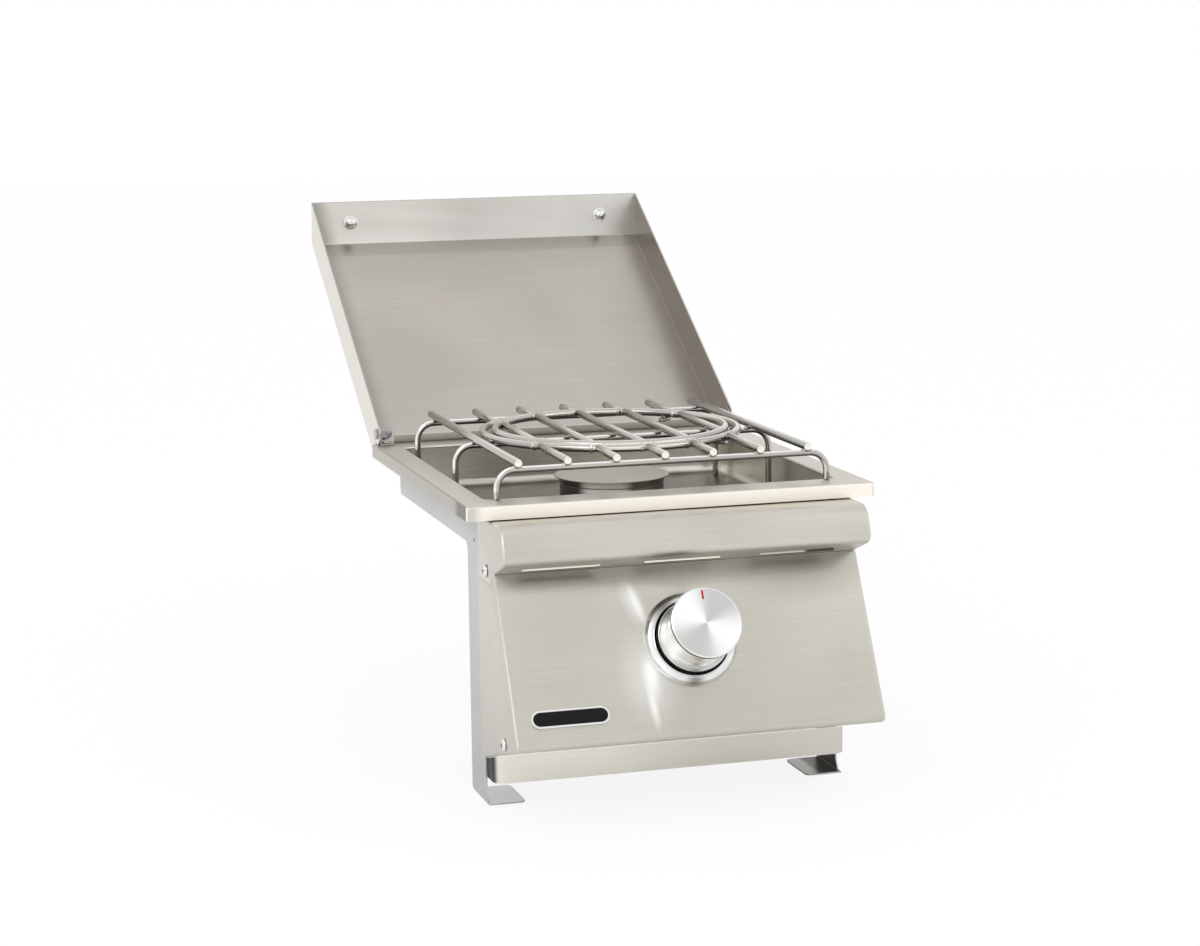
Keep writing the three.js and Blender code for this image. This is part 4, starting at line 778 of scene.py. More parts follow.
def knob_layers():
    """Painted reflections of a spun finish in wedges on the face, a painted shadow line round its edge,
    painted shade on the foot and a painted highlight on the waist.
    """
    place = panel_place()
    axis = place.to_3x3().col[2]
    base = axis.dot(place.translation) / MM
    edge = base + settings().knob.height / MM - 3.4
    lower_left = place.to_3x3() @ Vector((-0.8, -0.6, 0))
    face, shaft = facing(axis, 0.9, 0.98), facing(-axis, -0.4, -0.2)
    return [
        (0.72, 1, face, spun(place, 2.0, 0.95)),
        (WHITE, 1, face, spun(place, 2.0, -0.65)),
        (0.62, 1, shaft, zone(-axis, 11 - base, 3)),
        (0.82, 0.8, shaft, zone(-axis, -base - 15, 6)),
        (WHITE, 1, shaft, zone(axis, base + 16, 4), facing(lower_left, 0.2, 0.8)),
        ("3A3935", 0.9, shaft, zone(axis, edge, 0.4)),
    ]


def bezel_layers():
    """Painted reflections in grey arcs at the upper left, the bottom and the right of the bright ring, and a
    painted highlight at its lower left.
    """
    place = panel_place()
    return [
        ("7E7C76", 1, spot(place, -20, 27, 22, 11, turn=0.62)),
        ("8A8883", 1, spot(place, -3, -34, 11, 6)),
        ("B9B7B1", 0.9, spot(place, 33, -6, 8, 26)),
        (WHITE, 1, spot(place, -29, -19, 12, 20, turn=0.55)),
    ]


def burner_layers():
    """Painted shade on the flanks, a painted highlight in one bright band on the turned side, and painted
    light on the top.
    """
    return [
        ("3F3B34", 1, facing(LEFT, 0.6, 0.95)),
        ("3F3B34", 1, facing(RIGHT, 0.3, 0.9)),
        ((1, 1, 0.96), 1, facing(Vector((-0.405, -0.914, 0)), 0.84, 0.96)),
        ("CFCBBF", 1, facing(UP, 0.4, 0.9)),
    ]


def rod_layers():
    """Painted light on the upper side and cut ends, and painted shade on the underside."""
    return [
        (1.25, 1, facing(UP, 0.7, 0.98)),
        (0.42, 1, facing(-UP, 0.0, 0.6)),
        (1.6, 1, facing(FRONT, 0.8, 0.97)),
    ]


def support_layers():
    """Painted highlight along the top and front left of a bent wire, over painted shade on its underside."""
    return [
        (0.3, 1, facing(-UP, -0.1, 0.5)),
        (BRIGHT, 1, facing(Vector((-0.35, -0.35, 0.87)), 0.75, 0.97)),
        (BRIGHT, 0.8, facing(Vector((-0.8, -0.6, 0)), 0.8, 0.98)),
    ]


def lip_layers():
    """Painted shadow along the lower edge of the folded lips, and painted shade on the lip on the right."""
    return [
        (0.6, 1, zone(RIGHT, 58, 1)),
        ("45433D", 1, zone(RIGHT, 99, 3)),
        ("55524B", 1, zone(-UP, 36.75, 0.12)),
    ]


def no_layers():
    """Nothing over the brushed metal."""
    return []


def finish(name):
    """One of the shared materials, made on first use."""
    made = bpy.data.materials.get(name)
    if made:
        return made
    sheets, knob, rods = settings().sheets, settings().knob, settings().grate.colour
    rough, side, chrome = sheets.roughness, sheets.side_colour, knob.chrome_colour
    across, upright, even, fine = (14, 700, 700), (600, 16, 600), (300, 300, 300), (90, 90, 90)
    # An edge share lightens a sheet's sharp edges with a painted highlight.
    rolled = {"edge": 0.5, "streak": 0.7}
    cut, satin, calm = {"edge": 0.35}, {"edge": 0.4, "streak": 0.5}, {"change": 0.03}
    cast, dull = {"bump": 0.5}, {"metallic": 0.4}
    # Colour, other tone, roughness, stretch and share of the grain, layers, and what else differs
    metals = {
        "Panel Steel": (sheets.panel_colour, 0.93, rough, across, 0.07, panel_layers, rolled),
        "Header Steel": (sheets.header_colour, 0.93, rough, across, 0.07, header_layers, rolled),
        "Rim Steel": (sheets.rim_colour, 0.93, 0.42, (18, 500, 900), 0.08, rim_layers, cut),
        "Side Steel": (side, 0.93, rough, upright, 0.06, side_layers, cut),
        "Side Steel Right Shaded": (side, 0.93, rough, upright, 0.06, right_side_layers, cut),
        "Lid Steel": (sheets.lid_colour, 0.93, rough - 0.02, (16, 600, 600), 0.09, lid_layers, satin),
        "Apron Steel": (sheets.apron_colour, 0.93, rough, across, 0.06, apron_layers, cut),
        "Pan Steel": (sheets.pan_colour, 0.8, 0.3, (22, 420, 420), 0.14, pan_layers, {}),
        "Rod Steel": (rods, 0.86, 0.22, (260, 260, 260), 0.12, rod_layers, {}),
        "Support Steel": (rods, 0.9, 0.16, (260, 260, 260), 0.08, support_layers, {}),
        # Beads lighter than the rods they join: a painted highlight on real welds.
        "Weld Bead": (shade(rods, 1.3), shade(rods, 0.92), 0.24, (900, 900, 900), 0.2, no_layers, cast),
        "Chrome": (chrome, 0.96, 0.08, fine, 0.03, no_layers, calm),
        "Knob Chrome": (chrome, 0.97, 0.14, fine, 0.03, knob_layers, calm),
        "Bezel Chrome": (chrome, 0.96, 0.1, fine, 0.03, bezel_layers, calm),
        # The slot lips' near-white is partly a painted highlight: the light seen along the slots.
        "Slot Lip": (linear("F1EBDD"), 0.95, 0.3, (60, 900, 900), 0.05, lip_layers, {}),
        "Burner Steel": (linear("8A857A"), "7D786D", 0.36, (60, 60, 900), 0.12, burner_layers, dull),
        # Near-white corner seams: real seams with a painted highlight.
        "Seam": (BRIGHT, (0.9, 0.9, 0.88), 0.3, (300, 300, 60), 0.1, no_layers, {}),
        "Zinc Plate": (linear("B4B6B4"), "9EA19E", 0.4, even, 0.12, no_layers, {}),
        "Bolt Head": (linear("CFCFCA"), "C2C2BD", 0.4, even, 0.12, no_layers, {}),
        "Cast Alloy": (linear("B3B0A8"), "9A968E", 0.42, (700, 700, 700), 0.18, no_layers, cast),
        "Brass": (linear("C2A45C"), "A98B46", 0.3, even, 0.12, no_layers, {}),
    }
    paints = {
        "Black Plastic": (linear("0E0E0D"), 0.3),
        # Dark cross of a screw head: painted shade for a recess that is not cut.
        "Screw Recess Shade": (linear("24221F"), 0.6),
        "Ceramic": (linear("E9E4D8"), 0.45),
        "Pointer Paint": (knob.pointer_colour, 0.45),
    }
    if name in paints:
        return plain(name, *paints[name])
    *values, layers, rest = metals[name]
    return metal(name, *values, layers(), **rest)


# Operators


class SIDEBURNER_OT_sheets(bpy.types.Operator):
    """Finish the rim, pan, side plates, header, panel, apron and lid, and build the rim's corner seams, whose
    near-white colour is a painted highlight
    """

    bl_idname = "side_burner.sheets"
    bl_label = "Finish Sheet Metal"

    def execute(self, context):
        dress("Rim Steel", "top_rim")
        dress("Pan Steel", "burner_pan")
        dress("Side Steel", "side_plate_left")
        dress("Side Steel Right Shaded", "side_plate_right")
        dress("Header Steel", "header_fascia")
        dress("Panel Steel", "control_panel")
        dress("Apron Steel", "lower_apron")
        dress("Lid Steel", "lid_shell")
        low, high = box_mm("top_rim")
        radius, tall = 0.9, high.z - low.z
        bm = bmesh.new()
        for x in (low.x + radius, high.x - radius):
            place = Matrix.Translation(Vector((x, low.y + radius, low.z)) * MM)
            turned(bm, [(0, 0), (radius, 0, 0.4), (radius, tall, 0.4), (0, tall)], 16, place)
        finish_piece("rim_seam_highlights", bm, "Seam", "burner_unit", slot="brushed_steel")
        return {"FINISHED"}


class SIDEBURNER_OT_works(bpy.types.Operator):
    """Finish the valve, gas line, mixing tube, ignition and brackets"""

    bl_idname = "side_burner.works"
    bl_label = "Finish Inner Works"

    def execute(self, context):
        dress("Zinc Plate", "heat_shield", "valve_bracket", "gas_manifold", "venturi_tube", "air_shutter")
        dress("Zinc Plate", "burner_clamp", "igniter_bracket", "igniter_wire", "lead_clip", "valve_stem")
        dress("Zinc Plate", "hinge_bracket_left", "hinge_bracket_right")
        dress("Brass", "jet_tube", "valve_jet", "inlet_fitting", "stem_sleeve")
        dress("Cast Alloy", "gas_valve")
        dress("Black Plastic", "piezo_igniter", "igniter_lead")
        dress("Ceramic", "igniter_ceramic")
        return {"FINISHED"}


def rod_pitch():
    """Spacing of the grate rods in millimetres: the outer rod is the third from the middle."""
    return middle("grate_rod_right").x / MM / 3


def collars(beads, reach, x, y, level, radius, size, seed):
    """Two weld beads on a ring, one at each side of a rod that meets it."""
    angle = math.atan2(y, x)
    spread = (radius * reach / abs(y) + size * 0.35) / reach
    for side in (-1, 1):
        here = angle + side * spread
        where = (reach * math.cos(here), reach * math.sin(here), level)
        bead(beads, where, (radius * 1.16, size * 0.66, radius * 1.18), seed + side, here)


def ring_middle(node, radius):
    """Height and radius of the middle line of a ring of rod, in millimetres."""
    high = box_mm(node)[1]
    return high.z - radius, high.x - radius


def open_rods(bm, beads, own):
    """Grate's ring, the outer rods beside it and the rods that end on it."""
    radius = own.rod_radius / MM
    low, high = box_mm("grate_frame")
    level, reach = ring_middle("grate_frame", radius)
    sweep(bm, ring_line(reach, level), radius, own.sides, closed=True)
    for k in range(-3, 4):
        x = k * rod_pitch()
        if abs(k) == 3:
            sweep(bm, [(x, low.y, level), (x, high.y, level)], radius, own.sides)
            continue
        chord = math.sqrt(reach**2 - x**2)
        for end, y in ((low.y, -chord), (high.y, chord)):
            sweep(bm, [(x, end, level), (x, y, level)], radius, own.sides)
            collars(beads, reach, x, y, level, radius, own.bead_size / MM, 7 * k + y)


def support(bm, beads, own, node):
    """Bent wire that carries the grate, with beads where rods cross it."""
    radius, wire, size = own.rod_radius / MM, own.wire_radius / MM, own.bead_size / MM
    level, reach = ring_middle("grate_frame", radius)
    touch = wire * 0.8
    top = level - radius - touch
    back = middle(node).y / MM
    low, high = box_mm(node)
    foot, outer = low.z, high.x - wire
    corners = [(-outer, back, foot), (-outer, back, top), (outer, back, top), (outer, back, foot)]
    sweep(bm, bent(corners, own.bend / MM), wire, own.sides)
    for k in range(-3, 4):
        x = k * rod_pitch()
        if abs(k) == 3 or x**2 + back**2 > (reach + radius) ** 2:
            for side in (-1, 1):
                where = (x + side * radius * 0.75, back, top + touch)
                bead(beads, where, (size * 0.4, wire * 1.1, size * 0.32), back + k + side)


def pegs(bm, own):
    """Four pegs inside the grate's ring that carry the insert."""
    radius, peg = own.rod_radius / MM, own.peg_radius / MM
    gap, inset, outset = 0.3, 0.4, 2
    low, high = box_mm("wok_ring")
    inner = high.x - 2 * radius
    height = low.z - peg - gap
    reach = ring_middle("grate_frame", radius)[1]
    for angle in (math.pi / 4 + quarter for quarter in turns(4)):
        way = Vector((math.cos(angle), math.sin(angle), 0))
        ends = [way * length + Vector((0, 0, height)) for length in (inner - inset, reach + outset)]
        sweep(bm, ends, peg, own.sides)


class SIDEBURNER_OT_grate(bpy.types.Operator):
    """Build the rod grate with its outer ring, supports, pegs and weld beads"""

    bl_idname = "side_burner.grate"
    bl_label = "Build Grate"

    def execute(self, context):
        own = settings().grate
        bm, hoops, beads = bmesh.new(), bmesh.new(), bmesh.new()
        open_rods(bm, beads, own)
        supports = [f"grate_support_{place}" for place in ("front", "middle", "rear")]
        for node in supports:
            support(hoops, beads, own, node)
        pegs(bm, own)
        nodes = ["grate_frame", "grate_rod_left", "grate_rod_right"]
        finish_piece("grate_rods", bm, "Rod Steel", "grate", nodes, "rod_steel")
        finish_piece("grate_hoops", hoops, "Support Steel", "grate", supports, "rod_steel")
        finish_piece("grate_welds", beads, "Weld Bead", "grate", slot="rod_steel")
        return {"FINISHED"}


class SIDEBURNER_OT_insert(bpy.types.Operator):
    """Build the round insert that drops into the grate"""

    bl_idname = "side_burner.insert"
    bl_label = "Build Round Insert"

    def execute(self, context):
        own = settings().grate
        radius, size = own.rod_radius / MM, own.bead_size / MM
        level, reach = ring_middle("wok_ring", radius)
        bm, beads = bmesh.new(), bmesh.new()
        sweep(bm, ring_line(reach, level), radius, own.sides, closed=True)
        for k in range(-2, 3):
            x = k * rod_pitch()
            chord = math.sqrt(reach**2 - x**2)
            sweep(bm, [(x, -chord, level), (x, chord, level)], radius * 0.99, own.sides)
            for y in (-chord, chord):
                collars(beads, reach - radius * 0.3, x, y, level, radius * 0.88, size, 40 + 7 * k + y)
        finish_piece("insert_rods", bm, "Rod Steel", "wok_insert", ["wok_ring"], "rod_steel")
        finish_piece("insert_welds", beads, "Weld Bead", "wok_insert", slot="rod_steel")
        return {"FINISHED"}


class SIDEBURNER_OT_knob(bpy.types.Operator):
    """Build the knob, its dark skirt ring and its pointer line"""

    bl_idname = "side_burner.knob"
    bl_label = "Build Knob"

    def execute(self, context):
        own = settings().knob
        place = panel_place()
        face, waist, height = own.face_radius / MM, own.waist_radius / MM, own.height / MM
        foot = box_mm("knob_body")[1].x + 0.5
        skirt = box_mm("knob_shroud")[1].x
        bore = foot - 1.7
        back, base = 5.4, 7.6
        # Bore, foot, waist and rolled rim, up to the flat face
        shell = [
            (0, back),
            (bore, back, 0.3),
            (bore, base),
            (foot, base, 0.5),
            (foot, base + 3, 3),
            (waist + 0.4, base + 11, 10),
            (waist, base + 24, 6),
            (waist + 0.2, height - 6.2, 2),
            (face, height - 4.2, 0.8),
            (face, height - 0.6, 0.3),
            (face - 1.1, height, 0.3),
            (0, height),
        ]
        turned_piece("knob_shell", shell, 128, place, "Knob Chrome", "knob", ["knob_body"], "chrome")
        inner, top = bore + 0.3, base - 0.3
        flat = [(inner, back), (skirt, back, 0.3), (skirt, top, 0.6), (inner, top)]
        plastic = "Black Plastic", "knob", ["knob_shroud"], "black_plastic"
        turned_piece("knob_skirt", flat, 128, place, *plastic)
        half, start, end, sunk, proud = 0.75, face - 9.3, face - 2.3, 0.5, 0.04
        bm = bmesh.new()
        block(bm, (-half, start, height - sunk), (half, end, height + proud), place)
        finish_piece("knob_line", bm, "Pointer Paint", "knob", ["knob_pointer"], "red_paint")
        return {"FINISHED"}


class SIDEBURNER_OT_bezel(bpy.types.Operator):
    """Build the round bezel, the plain badge and the folded lips of the air slots"""

    bl_idname = "side_burner.bezel"
    bl_label = "Build Bezel, Badge and Slot Lips"

    def execute(self, context):
        place = panel_place()
        outer = box_mm("knob_bezel")[1].x
        inner, back, floor = 7.3, 0.3, 1.8
        # Back plate, rounded crown and the floor inside it
        points = [
            (inner, back),
            (outer, back, 0.2),
            (outer - 0.3, 2, 1.5),
            (outer - 2.4, 5.6, 3),
            (outer - 5, 6.6, 3),
            (outer - 7.4, 6.2, 1),
            (outer - 7.9, 5, 1),
            (outer - 8.1, floor, 0.2),
            (inner, floor),
        ]
        ring_look = "Bezel Chrome", "burner_unit", ["knob_bezel"], "chrome"
        turned_piece("bezel_ring", points, 128, place, *ring_look)
        dress("Chrome", "badge_border")
        dress("Black Plastic", "badge_plate")
        bm = bmesh.new()
        half, front, rear, bottom, top = 30.5, -191.6, -190.7, -37.4, -35.2
        for x in SLOTS:
            block(bm, (x - half, front, bottom), (x + half, rear, top), Matrix(), 0.15)
        # The lips' near-white finish is partly a painted highlight for the light seen along the slots.
        finish_piece("slot_lips", bm, "Slot Lip", "burner_unit", slot="brushed_steel")
        return {"FINISHED"}


def carved(solid, tools):
    """Closed solid with the shapes of the tools cut out of it."""
    items = []
    for name, source in (("uncut", solid), ("tools", tools)):
        bmesh.ops.remove_doubles(source, verts=source.verts, dist=1e-7)
        bmesh.ops.recalc_face_normals(source, faces=source.faces)
        items.append(new_object(name, source))
    cut = items[0].modifiers.new("Cut", "BOOLEAN")
    cut.operation = "DIFFERENCE"
    cut.solver = "EXACT"
    cut.object = items[1]
    result = bmesh.new()
    result.from_object(items[0], bpy.context.evaluated_depsgraph_get())
    bmesh.ops.remove_doubles(result, verts=result.verts, dist=1e-8)
    bmesh.ops.triangulate(result, faces=[face for face in result.faces if len(face.verts) > 4])
    bmesh.ops.dissolve_degenerate(result, dist=1e-8, edges=result.edges)
    for item in items:
        mesh = item.data
        bpy.data.objects.remove(item)
        bpy.data.meshes.remove(mesh)
    if len(result.verts) == 0:
        raise RuntimeError("The cut left nothing of the solid")
    return result


def burner_axis():
    """Middle of the burner in plan, in millimetres."""
    low, high = box_mm("burner_cap")
    return (low.x + high.x) / 2, (low.y + high.y) / 2


def burner_lid():
    """Lift-off cap: its spigot, the recess under the rim, and the top."""
    low, high = box_mm("burner_cap")
    x, y = burner_axis()
    place = Matrix.Translation(Vector((x, y, high.z)) * MM)
    rim, bottom, seat = high.x - x, low.z - high.z, -6.7
    spigot, wall = rim - 8.3, rim - 4.2
    points = [
        (0, bottom),
        (spigot, bottom, 0.5),
        (spigot, seat, 0.5),
        (wall, seat, 0.6),
        (wall, -1.6, 0.3),
        (rim - 0.2, -1.3, 0.1),
        (rim, -0.9, 0.2),
        (rim - 0.6, -0.2, 0.3),
        (rim - 3, 0, 0.5),
        (0, 0),
    ]
    turned_piece("burner_lid", points, 96, place, "Burner Steel", "cap", ["burner_cap"], "cast_aluminium")


def burner_head():
    """Cup with a neck, a flange, an upright wall and its floor, and a ring of flame ports in the wall."""
    low, high = box_mm("burner_body")
    x, y = burner_axis()
    origin = Matrix.Translation(Vector((x, y, high.z)) * MM)
    foot, bottom = high.x - x, low.z - high.z
    wall, inner, neck, bore = foot - 3, foot - 6.5, 17, 13.3
    flange, floor = -21.1, -17.1
    points = [
        (bore, bottom),
        (neck, bottom, 0.3),
        (neck, flange, 2),
        (foot, flange, 0.5),
        (foot, flange + 2, 0.8),
        (wall, floor, 1.5),
        (wall, 0, 0.3),
        (inner, 0, 0.3),
        (inner, floor, 2),
        (bore, floor, 0.3),
        (bore, bottom),
    ]
    cup, ports = bmesh.new(), bmesh.new()
    turned(cup, points, 96, origin)
    radius, length, depth, behind = 1.2, 6, 11, 5
    for angle in turns(24):
        way = Vector((math.cos(angle), math.sin(angle), 0))
        port = axis_place(origin @ ((way * (wall - behind) - UP * depth) * MM), way)
        turned(ports, [(0, 0), (radius, 0), (radius, length), (0, length)], 12, port)
    head = carved(cup, ports)
    finish_piece("burner_head", head, "Burner Steel", "burner_unit", ["burner_body"], "cast_aluminium", 40)


class SIDEBURNER_OT_burner(bpy.types.Operator):
    """Build the burner's lift-off cap, and its head with a ring of flame ports"""

    bl_idname = "side_burner.burner"
    bl_label = "Build Burner"

    def execute(self, context):
        burner_lid()
        burner_head()
        return {"FINISHED"}


def domed_nut(bm, place, radius, hexagon, dome, rise):
    """Domed cap nut standing on a place: hexagon height, then a dome of a radius and a rise."""
    flats = [(0, 0), (radius * 0.96, 0), (radius, 0.5)]
    flats += [(radius, hexagon - 0.7), (radius * 0.9, hexagon), (0, hexagon)]
    turned(bm, flats, 6, place)
    arc = [(dome * math.cos(t), hexagon + rise * math.sin(t)) for t in (k * math.pi / 16 for k in range(8))]
    turned(bm, [(0, hexagon - 0.4), (dome, hexagon - 0.4), *arc, (0, hexagon + rise)], 32, place)


class SIDEBURNER_OT_handle(bpy.types.Operator):
    """Build the round lid handle with its two posts and domed nuts"""

    bl_idname = "side_burner.handle"
    bl_label = "Build Handle"

    def execute(self, context):
        own = settings().handle
        bar, post = own.bar_radius / MM, own.post_radius / MM
        end = box_mm("lid_handle")[1].x
        axis = spread_middle("lid_handle", lambda spot: spot.x > (end - 0.1) * MM) / MM
        nut = spread_middle("handle_nut_right") / MM
        axis.x = 0
        way = Vector((0, nut.y - axis.y, nut.z - axis.z)).normalized()
        start = way.dot(axis)
        reach = reach_along("lid_handle", way)[1] - start
        bm = bmesh.new()
        whole = axis_place((axis - RIGHT * end) * MM, RIGHT)
        turned(bm, [(0, 0), (bar, 0, 1.1), (bar, 2 * end, 1.1), (0, 2 * end)], 48, whole)
        for side in (-1, 1):
            foot = axis + RIGHT * side * nut.x
            turned(bm, [(0, 0), (post, 0), (post, reach), (0, reach)], 32, axis_place(foot * MM, way))
        finish_piece("handle_bar", bm, "Chrome", "lid", ["lid_handle"], "chrome", 40)
        shank, thick, washer = 2.4, 0.8, own.washer_radius / MM
        for name, side in (("left", -1), ("right", 1)):
            node = f"handle_nut_{name}"
            low, high = reach_along(node, way)
            seat = high - low - own.nut_height / MM
            top = seat + thick
            foot = axis_place((axis + way * (low - start) + RIGHT * side * nut.x) * MM, way)
            bm = bmesh.new()
            turned(bm, [(0, 0), (shank, 0), (shank, seat), (0, seat)], 16, foot)
            turned(bm, [(0, seat), (washer, seat), (washer, top, 0.4), (0, top)], 32, foot)
            rise = high - low - seat - 3.4
            stand = foot @ Matrix.Translation((0, 0, top * MM))
            domed_nut(bm, stand, radius=5.9, hexagon=2.6, dome=5, rise=rise)
            finish_piece(f"handle_cap_{name}", bm, "Chrome", "lid", [node], "chrome", 40)
        return {"FINISHED"}


def end_places(node, side, centre):
    """Place on a node's inner end that looks outward, and the node's length in millimetres."""
    low, high = box_mm(node)
    inner = high.x if side < 0 else low.x
    return axis_place(Vector((inner, centre.y, centre.z)) * MM, RIGHT * side), high.x - low.x


def side_screw(name, level, side, recess_shades):
    """Round-head screw; a dark cross in its head, painted shade that stands for the recess, is added to the
    others of its side.
    """
    node = f"side_screw_{name}_{level}"
    low, high = box_mm(node)
    place, length = end_places(node, side, middle(node) / MM)
    head, seat, shank = (high.z - low.z) / 2, length - 2.3, 2.4
    points = [
        (0, 0),
        (shank, 0, 0.4),
        (shank, seat),
        (head, seat, 0.2),
        (head, seat + 1, 0.8),
        (head * 0.55, length, 1.6),
        (0, length),
    ]
    turned_piece(f"screw_{name}_{level}", points, 32, place, "Chrome", "burner_unit", [node], "zinc")
    # A dark cross set into the head paints the shade of a recess that is not cut.
    long, thin = 2.7, 0.55
    for wide, tall in ((long, thin), (thin, long)):
        block(recess_shades, (-wide, -tall, length - 0.5), (wide, tall, length + 0.02), place)


def hinge_bolt(name, side, axis):
    """Bolt that the lid swings on, with a low hexagon head."""
    node = f"hinge_bolt_{name}"
    place, length = end_places(node, side, axis)
    seat, shank, head, sunk = length - 3.4, 3, 4.7, 0.2
    bm = bmesh.new()
    turned(bm, [(0, 0), (shank, 0), (shank, seat + sunk), (0, seat + sunk)], 32, place)
    flats = [(0, 0), (head - 0.1, 0), (head, 0.3), (head, 1.4), (head - 0.5, 1.9), (0, 2)]
    turned(bm, [(radius, seat + height) for radius, height in flats], 6, place)
    finish_piece(f"bolt_{name}", bm, "Bolt Head", "burner_unit", [node], "zinc", 30)


def hinge_nut(name, side, axis):
    """Domed nut of a hinge bolt."""
    node = f"hinge_nut_{name}"
    bm = bmesh.new()
    domed_nut(bm, end_places(node, -side, axis)[0], radius=5.6, hexagon=5, dome=4.8, rise=4.8)
    finish_piece(f"cap_nut_{name}", bm, "Zinc Plate", "burner_unit", [node], "zinc", 30)


def rivet(name):
    """Round-head rivet of a hinge bracket."""
    node = f"hinge_rivet_{name}"
    low, high = box_mm(node)
    centre = middle(node) / MM
    place = Matrix.Translation(Vector((centre.x, centre.y, low.z)) * MM)
    shank, head, seat = 1.9, (high.x - low.x) / 2, high.z - low.z - 1.4
    points = [
        (0, 0),
        (shank, 0, 0.3),
        (shank, seat),
        (head, seat, 0.1),
        (head * 0.8, seat + 0.9, 1.5),
        (0, seat + 1.4),
    ]
    turned_piece(f"rivet_{name}", points, 24, place, "Chrome", "burner_unit", [node], "zinc", sharp=50)


class SIDEBURNER_OT_fasteners(bpy.types.Operator):
    """Build the side screws, hinge bolts, cap nuts and rivets"""

    bl_idname = "side_burner.fasteners"
    bl_label = "Build Fasteners"

    def execute(self, context):
        axis = joint("lid_hinge")[0] / MM
        for name, side in (("left", -1), ("right", 1)):
            recess_shades = bmesh.new()
            for level in ("upper", "lower"):
                side_screw(name, level, side, recess_shades)
            finish_piece(f"screw_recess_shades_{name}", recess_shades, "Screw Recess Shade", "burner_unit", slot="zinc")
            hinge_bolt(name, side, axis)
            hinge_nut(name, side, axis)
            rivet(name)
        return {"FINISHED"}


def room(strength):
    """World light: a pale room, a little dimmer near the horizon and plain white to the camera."""
    world = bpy.data.worlds.new("Pale Room")
    bpy.context.scene.world = world
    world.use_nodes = True
    tree = world.node_tree
    tree.nodes.clear()
    place = add(tree, "ShaderNodeTexCoord").outputs["Generated"]
    split = add(tree, "ShaderNodeSeparateXYZ", {0: place})
    ramp = add(tree, "ShaderNodeValToRGB", {"Fac": step(tree, split.outputs["Z"], -1.0, 1.0, "LINEAR")})
    stops = ramp.color_ramp.elements
    stops[0].position, stops[0].color = 0.0, (0.95, 0.95, 0.95, 1)
    stops[1].position, stops[1].color = 1.0, (1.0, 1.0, 1.0, 1)
    for position, level in ((0.5, 0.94), (0.65, 1.0)):
        stop = stops.new(position)
        stop.color = (level, level, level, 1)
    lit = add(tree, "ShaderNodeBackground", {"Color": ramp.outputs["Color"], "Strength": strength})
    white = add(tree, "ShaderNodeBackground", {"Color": (1, 1, 1, 1), "Strength": 1.0})
    seen = add(tree, "ShaderNodeLightPath").outputs["Is Camera Ray"]
    both = add(tree, "ShaderNodeMixShader", {0: seen, 1: lit.outputs[0], 2: white.outputs[0]})
    add(tree, "ShaderNodeOutputWorld", {"Surface": both.outputs[0]})


def lamp(name, place, target, width, height, power):
    """Soft rectangular light aimed at a point."""
    data = bpy.data.lights.new(name, "AREA")
    data.shape = "RECTANGLE"
    data.size = width
    data.size_y = height
    data.energy = power
    item = new_object(name, data)
    item.location = place
    item.rotation_euler = (Vector(target) - Vector(place)).to_track_quat("-Z", "Y").to_euler()


def build_floor(own):
    """Pale round floor just under the part."""
    radius, gap = 9, 0.0005
    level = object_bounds()[0][2] - gap
    bm = bmesh.new()
    bm.faces.new(ring(bm, radius, level, 48))
    floor = new_object("floor", bm)
    pale, tree, surface = new_surface("Pale Floor")
    surface["Base Color"].default_value = (*own.floor_colour, 1)
    surface["Roughness"].default_value = 1.0
    surface["Specular IOR Level"].default_value = 0.0
    plain_shader = tree.nodes["Principled BSDF"].outputs[0]
    seen = add(tree, "ShaderNodeEmission", {"Color": (1, 1, 1, 1), "Strength": 1.0}).outputs[0]
    path = add(tree, "ShaderNodeLightPath").outputs["Is Camera Ray"]
    share = number(tree, "MULTIPLY", path, own.floor_glow)
    both = add(tree, "ShaderNodeMixShader", {0: share, 1: plain_shader, 2: seen})
    tree.links.new(both.outputs[0], tree.nodes["Material Output"].inputs["Surface"])
    floor.data.materials.append(pale)
    floor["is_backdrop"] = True


def build_camera(lens):
    """Camera that stands and looks as the photograph's did."""
    yaw, pitch, roll = CAMERA_TURN
    forward = Vector((math.sin(yaw) * math.cos(pitch), math.cos(yaw) * math.cos(pitch), -math.sin(pitch)))
    level_right = Vector((math.cos(yaw), -math.sin(yaw), 0))
    level_up = level_right.cross(forward)
    right = level_right * math.cos(roll) + level_up * math.sin(roll)
    up = level_up * math.cos(roll) - level_right * math.sin(roll)
    turn = Matrix((right, up, -forward)).transposed().to_4x4()
    data = bpy.data.cameras.new("photo_camera")
    data.sensor_fit = "HORIZONTAL"
    data.sensor_width = 36
    data.lens = lens / MM
    data.clip_end = 50
    camera = new_object("photo_camera", data)
    camera.matrix_world = Matrix.Translation(CAMERA_PLACE) @ turn
    bpy.context.scene.camera = camera


class SIDEBURNER_OT_stage(bpy.types.Operator):
    """Set the pale floor, the soft lights and the camera of the photograph"""

    bl_idname = "side_burner.stage"
    bl_label = "Set Stage"

    def execute(self, context):
        own = settings().stage
        build_floor(own)
        room(own.room_strength)
        lamp("key_light", (-1.6, -1.5, 1.7), (0, 0, 0), 1.4, 1.4, own.key_power)
        lamp("fill_light", (1.9, -1.1, 1.0), (0, 0, 0), 1.2, 1.6, own.fill_power)
        context.scene.view_settings.view_transform = "Standard"
        build_camera(own.lens)
        return {"FINISHED"}


# Panel and registration


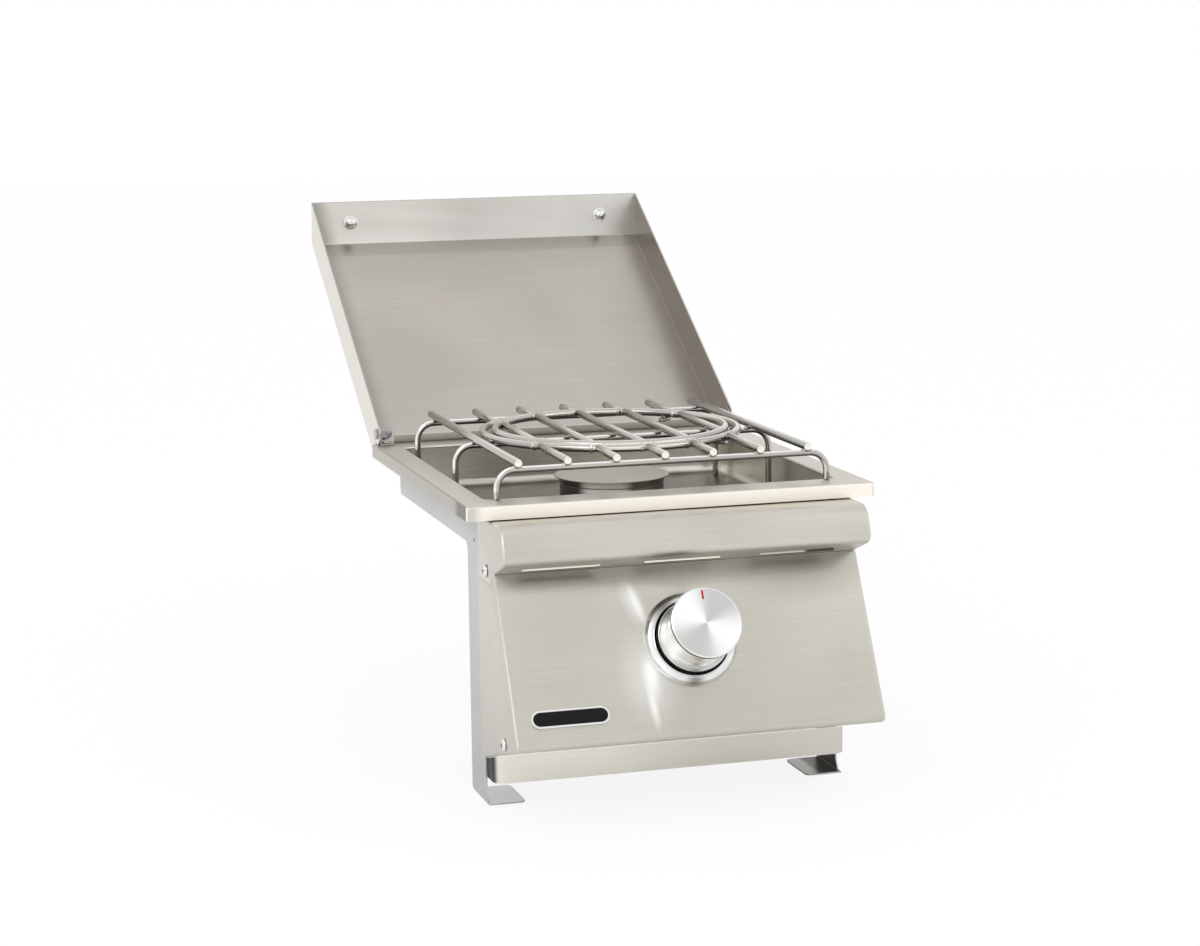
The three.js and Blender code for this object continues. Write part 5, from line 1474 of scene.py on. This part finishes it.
class SideBurnerSettings(bpy.types.PropertyGroup):
    """All settings of the side burner."""

    sheets: PointerProperty(type=SideBurnerSheets)
    grate: PointerProperty(type=SideBurnerGrate)
    knob: PointerProperty(type=SideBurnerKnob)
    handle: PointerProperty(type=SideBurnerHandle)
    stage: PointerProperty(type=SideBurnerStage)


OPERATORS = (
    SIDEBURNER_OT_stage,
    SIDEBURNER_OT_sheets,
    SIDEBURNER_OT_works,
    SIDEBURNER_OT_grate,
    SIDEBURNER_OT_insert,
    SIDEBURNER_OT_knob,
    SIDEBURNER_OT_bezel,
    SIDEBURNER_OT_burner,
    SIDEBURNER_OT_handle,
    SIDEBURNER_OT_fasteners,
)


class SIDEBURNER_PT_panel(bpy.types.Panel):
    """Lists the side burner's steps and settings"""

    bl_label = "Side Burner"
    bl_idname = "SIDEBURNER_PT_panel"
    bl_space_type = "VIEW_3D"
    bl_region_type = "UI"
    bl_category = "Side Burner"

    def draw(self, context):
        own = context.scene.side_burner
        for operator in OPERATORS:
            self.layout.operator(operator.bl_idname)
        for part in (own.sheets, own.grate, own.knob, own.handle, own.stage):
            box = self.layout.box()
            for key in part.__annotations__:
                box.prop(part, key)


CLASSES = (
    SideBurnerSheets,
    SideBurnerGrate,
    SideBurnerKnob,
    SideBurnerHandle,
    SideBurnerStage,
    SideBurnerSettings,
    *OPERATORS,
    SIDEBURNER_PT_panel,
)


def register():
    """Adds the classes and the settings."""
    for item in CLASSES:
        bpy.utils.register_class(item)
    bpy.types.Scene.side_burner = PointerProperty(type=SideBurnerSettings)


def unregister():
    """Removes the settings and the classes."""
    del bpy.types.Scene.side_burner
    for item in reversed(CLASSES):
        bpy.utils.unregister_class(item)


def corners():
    """Lowest and highest corners of what is there, as plain numbers."""
    return [[float(value) for value in corner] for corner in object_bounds()]


def main(cad_box):
    """Builds everything."""
    register()
    for operator in OPERATORS:
        space, name = operator.bl_idname.split(".")
        getattr(getattr(bpy.ops, space), name)()


if __name__ == "__main__":
    main(corners())
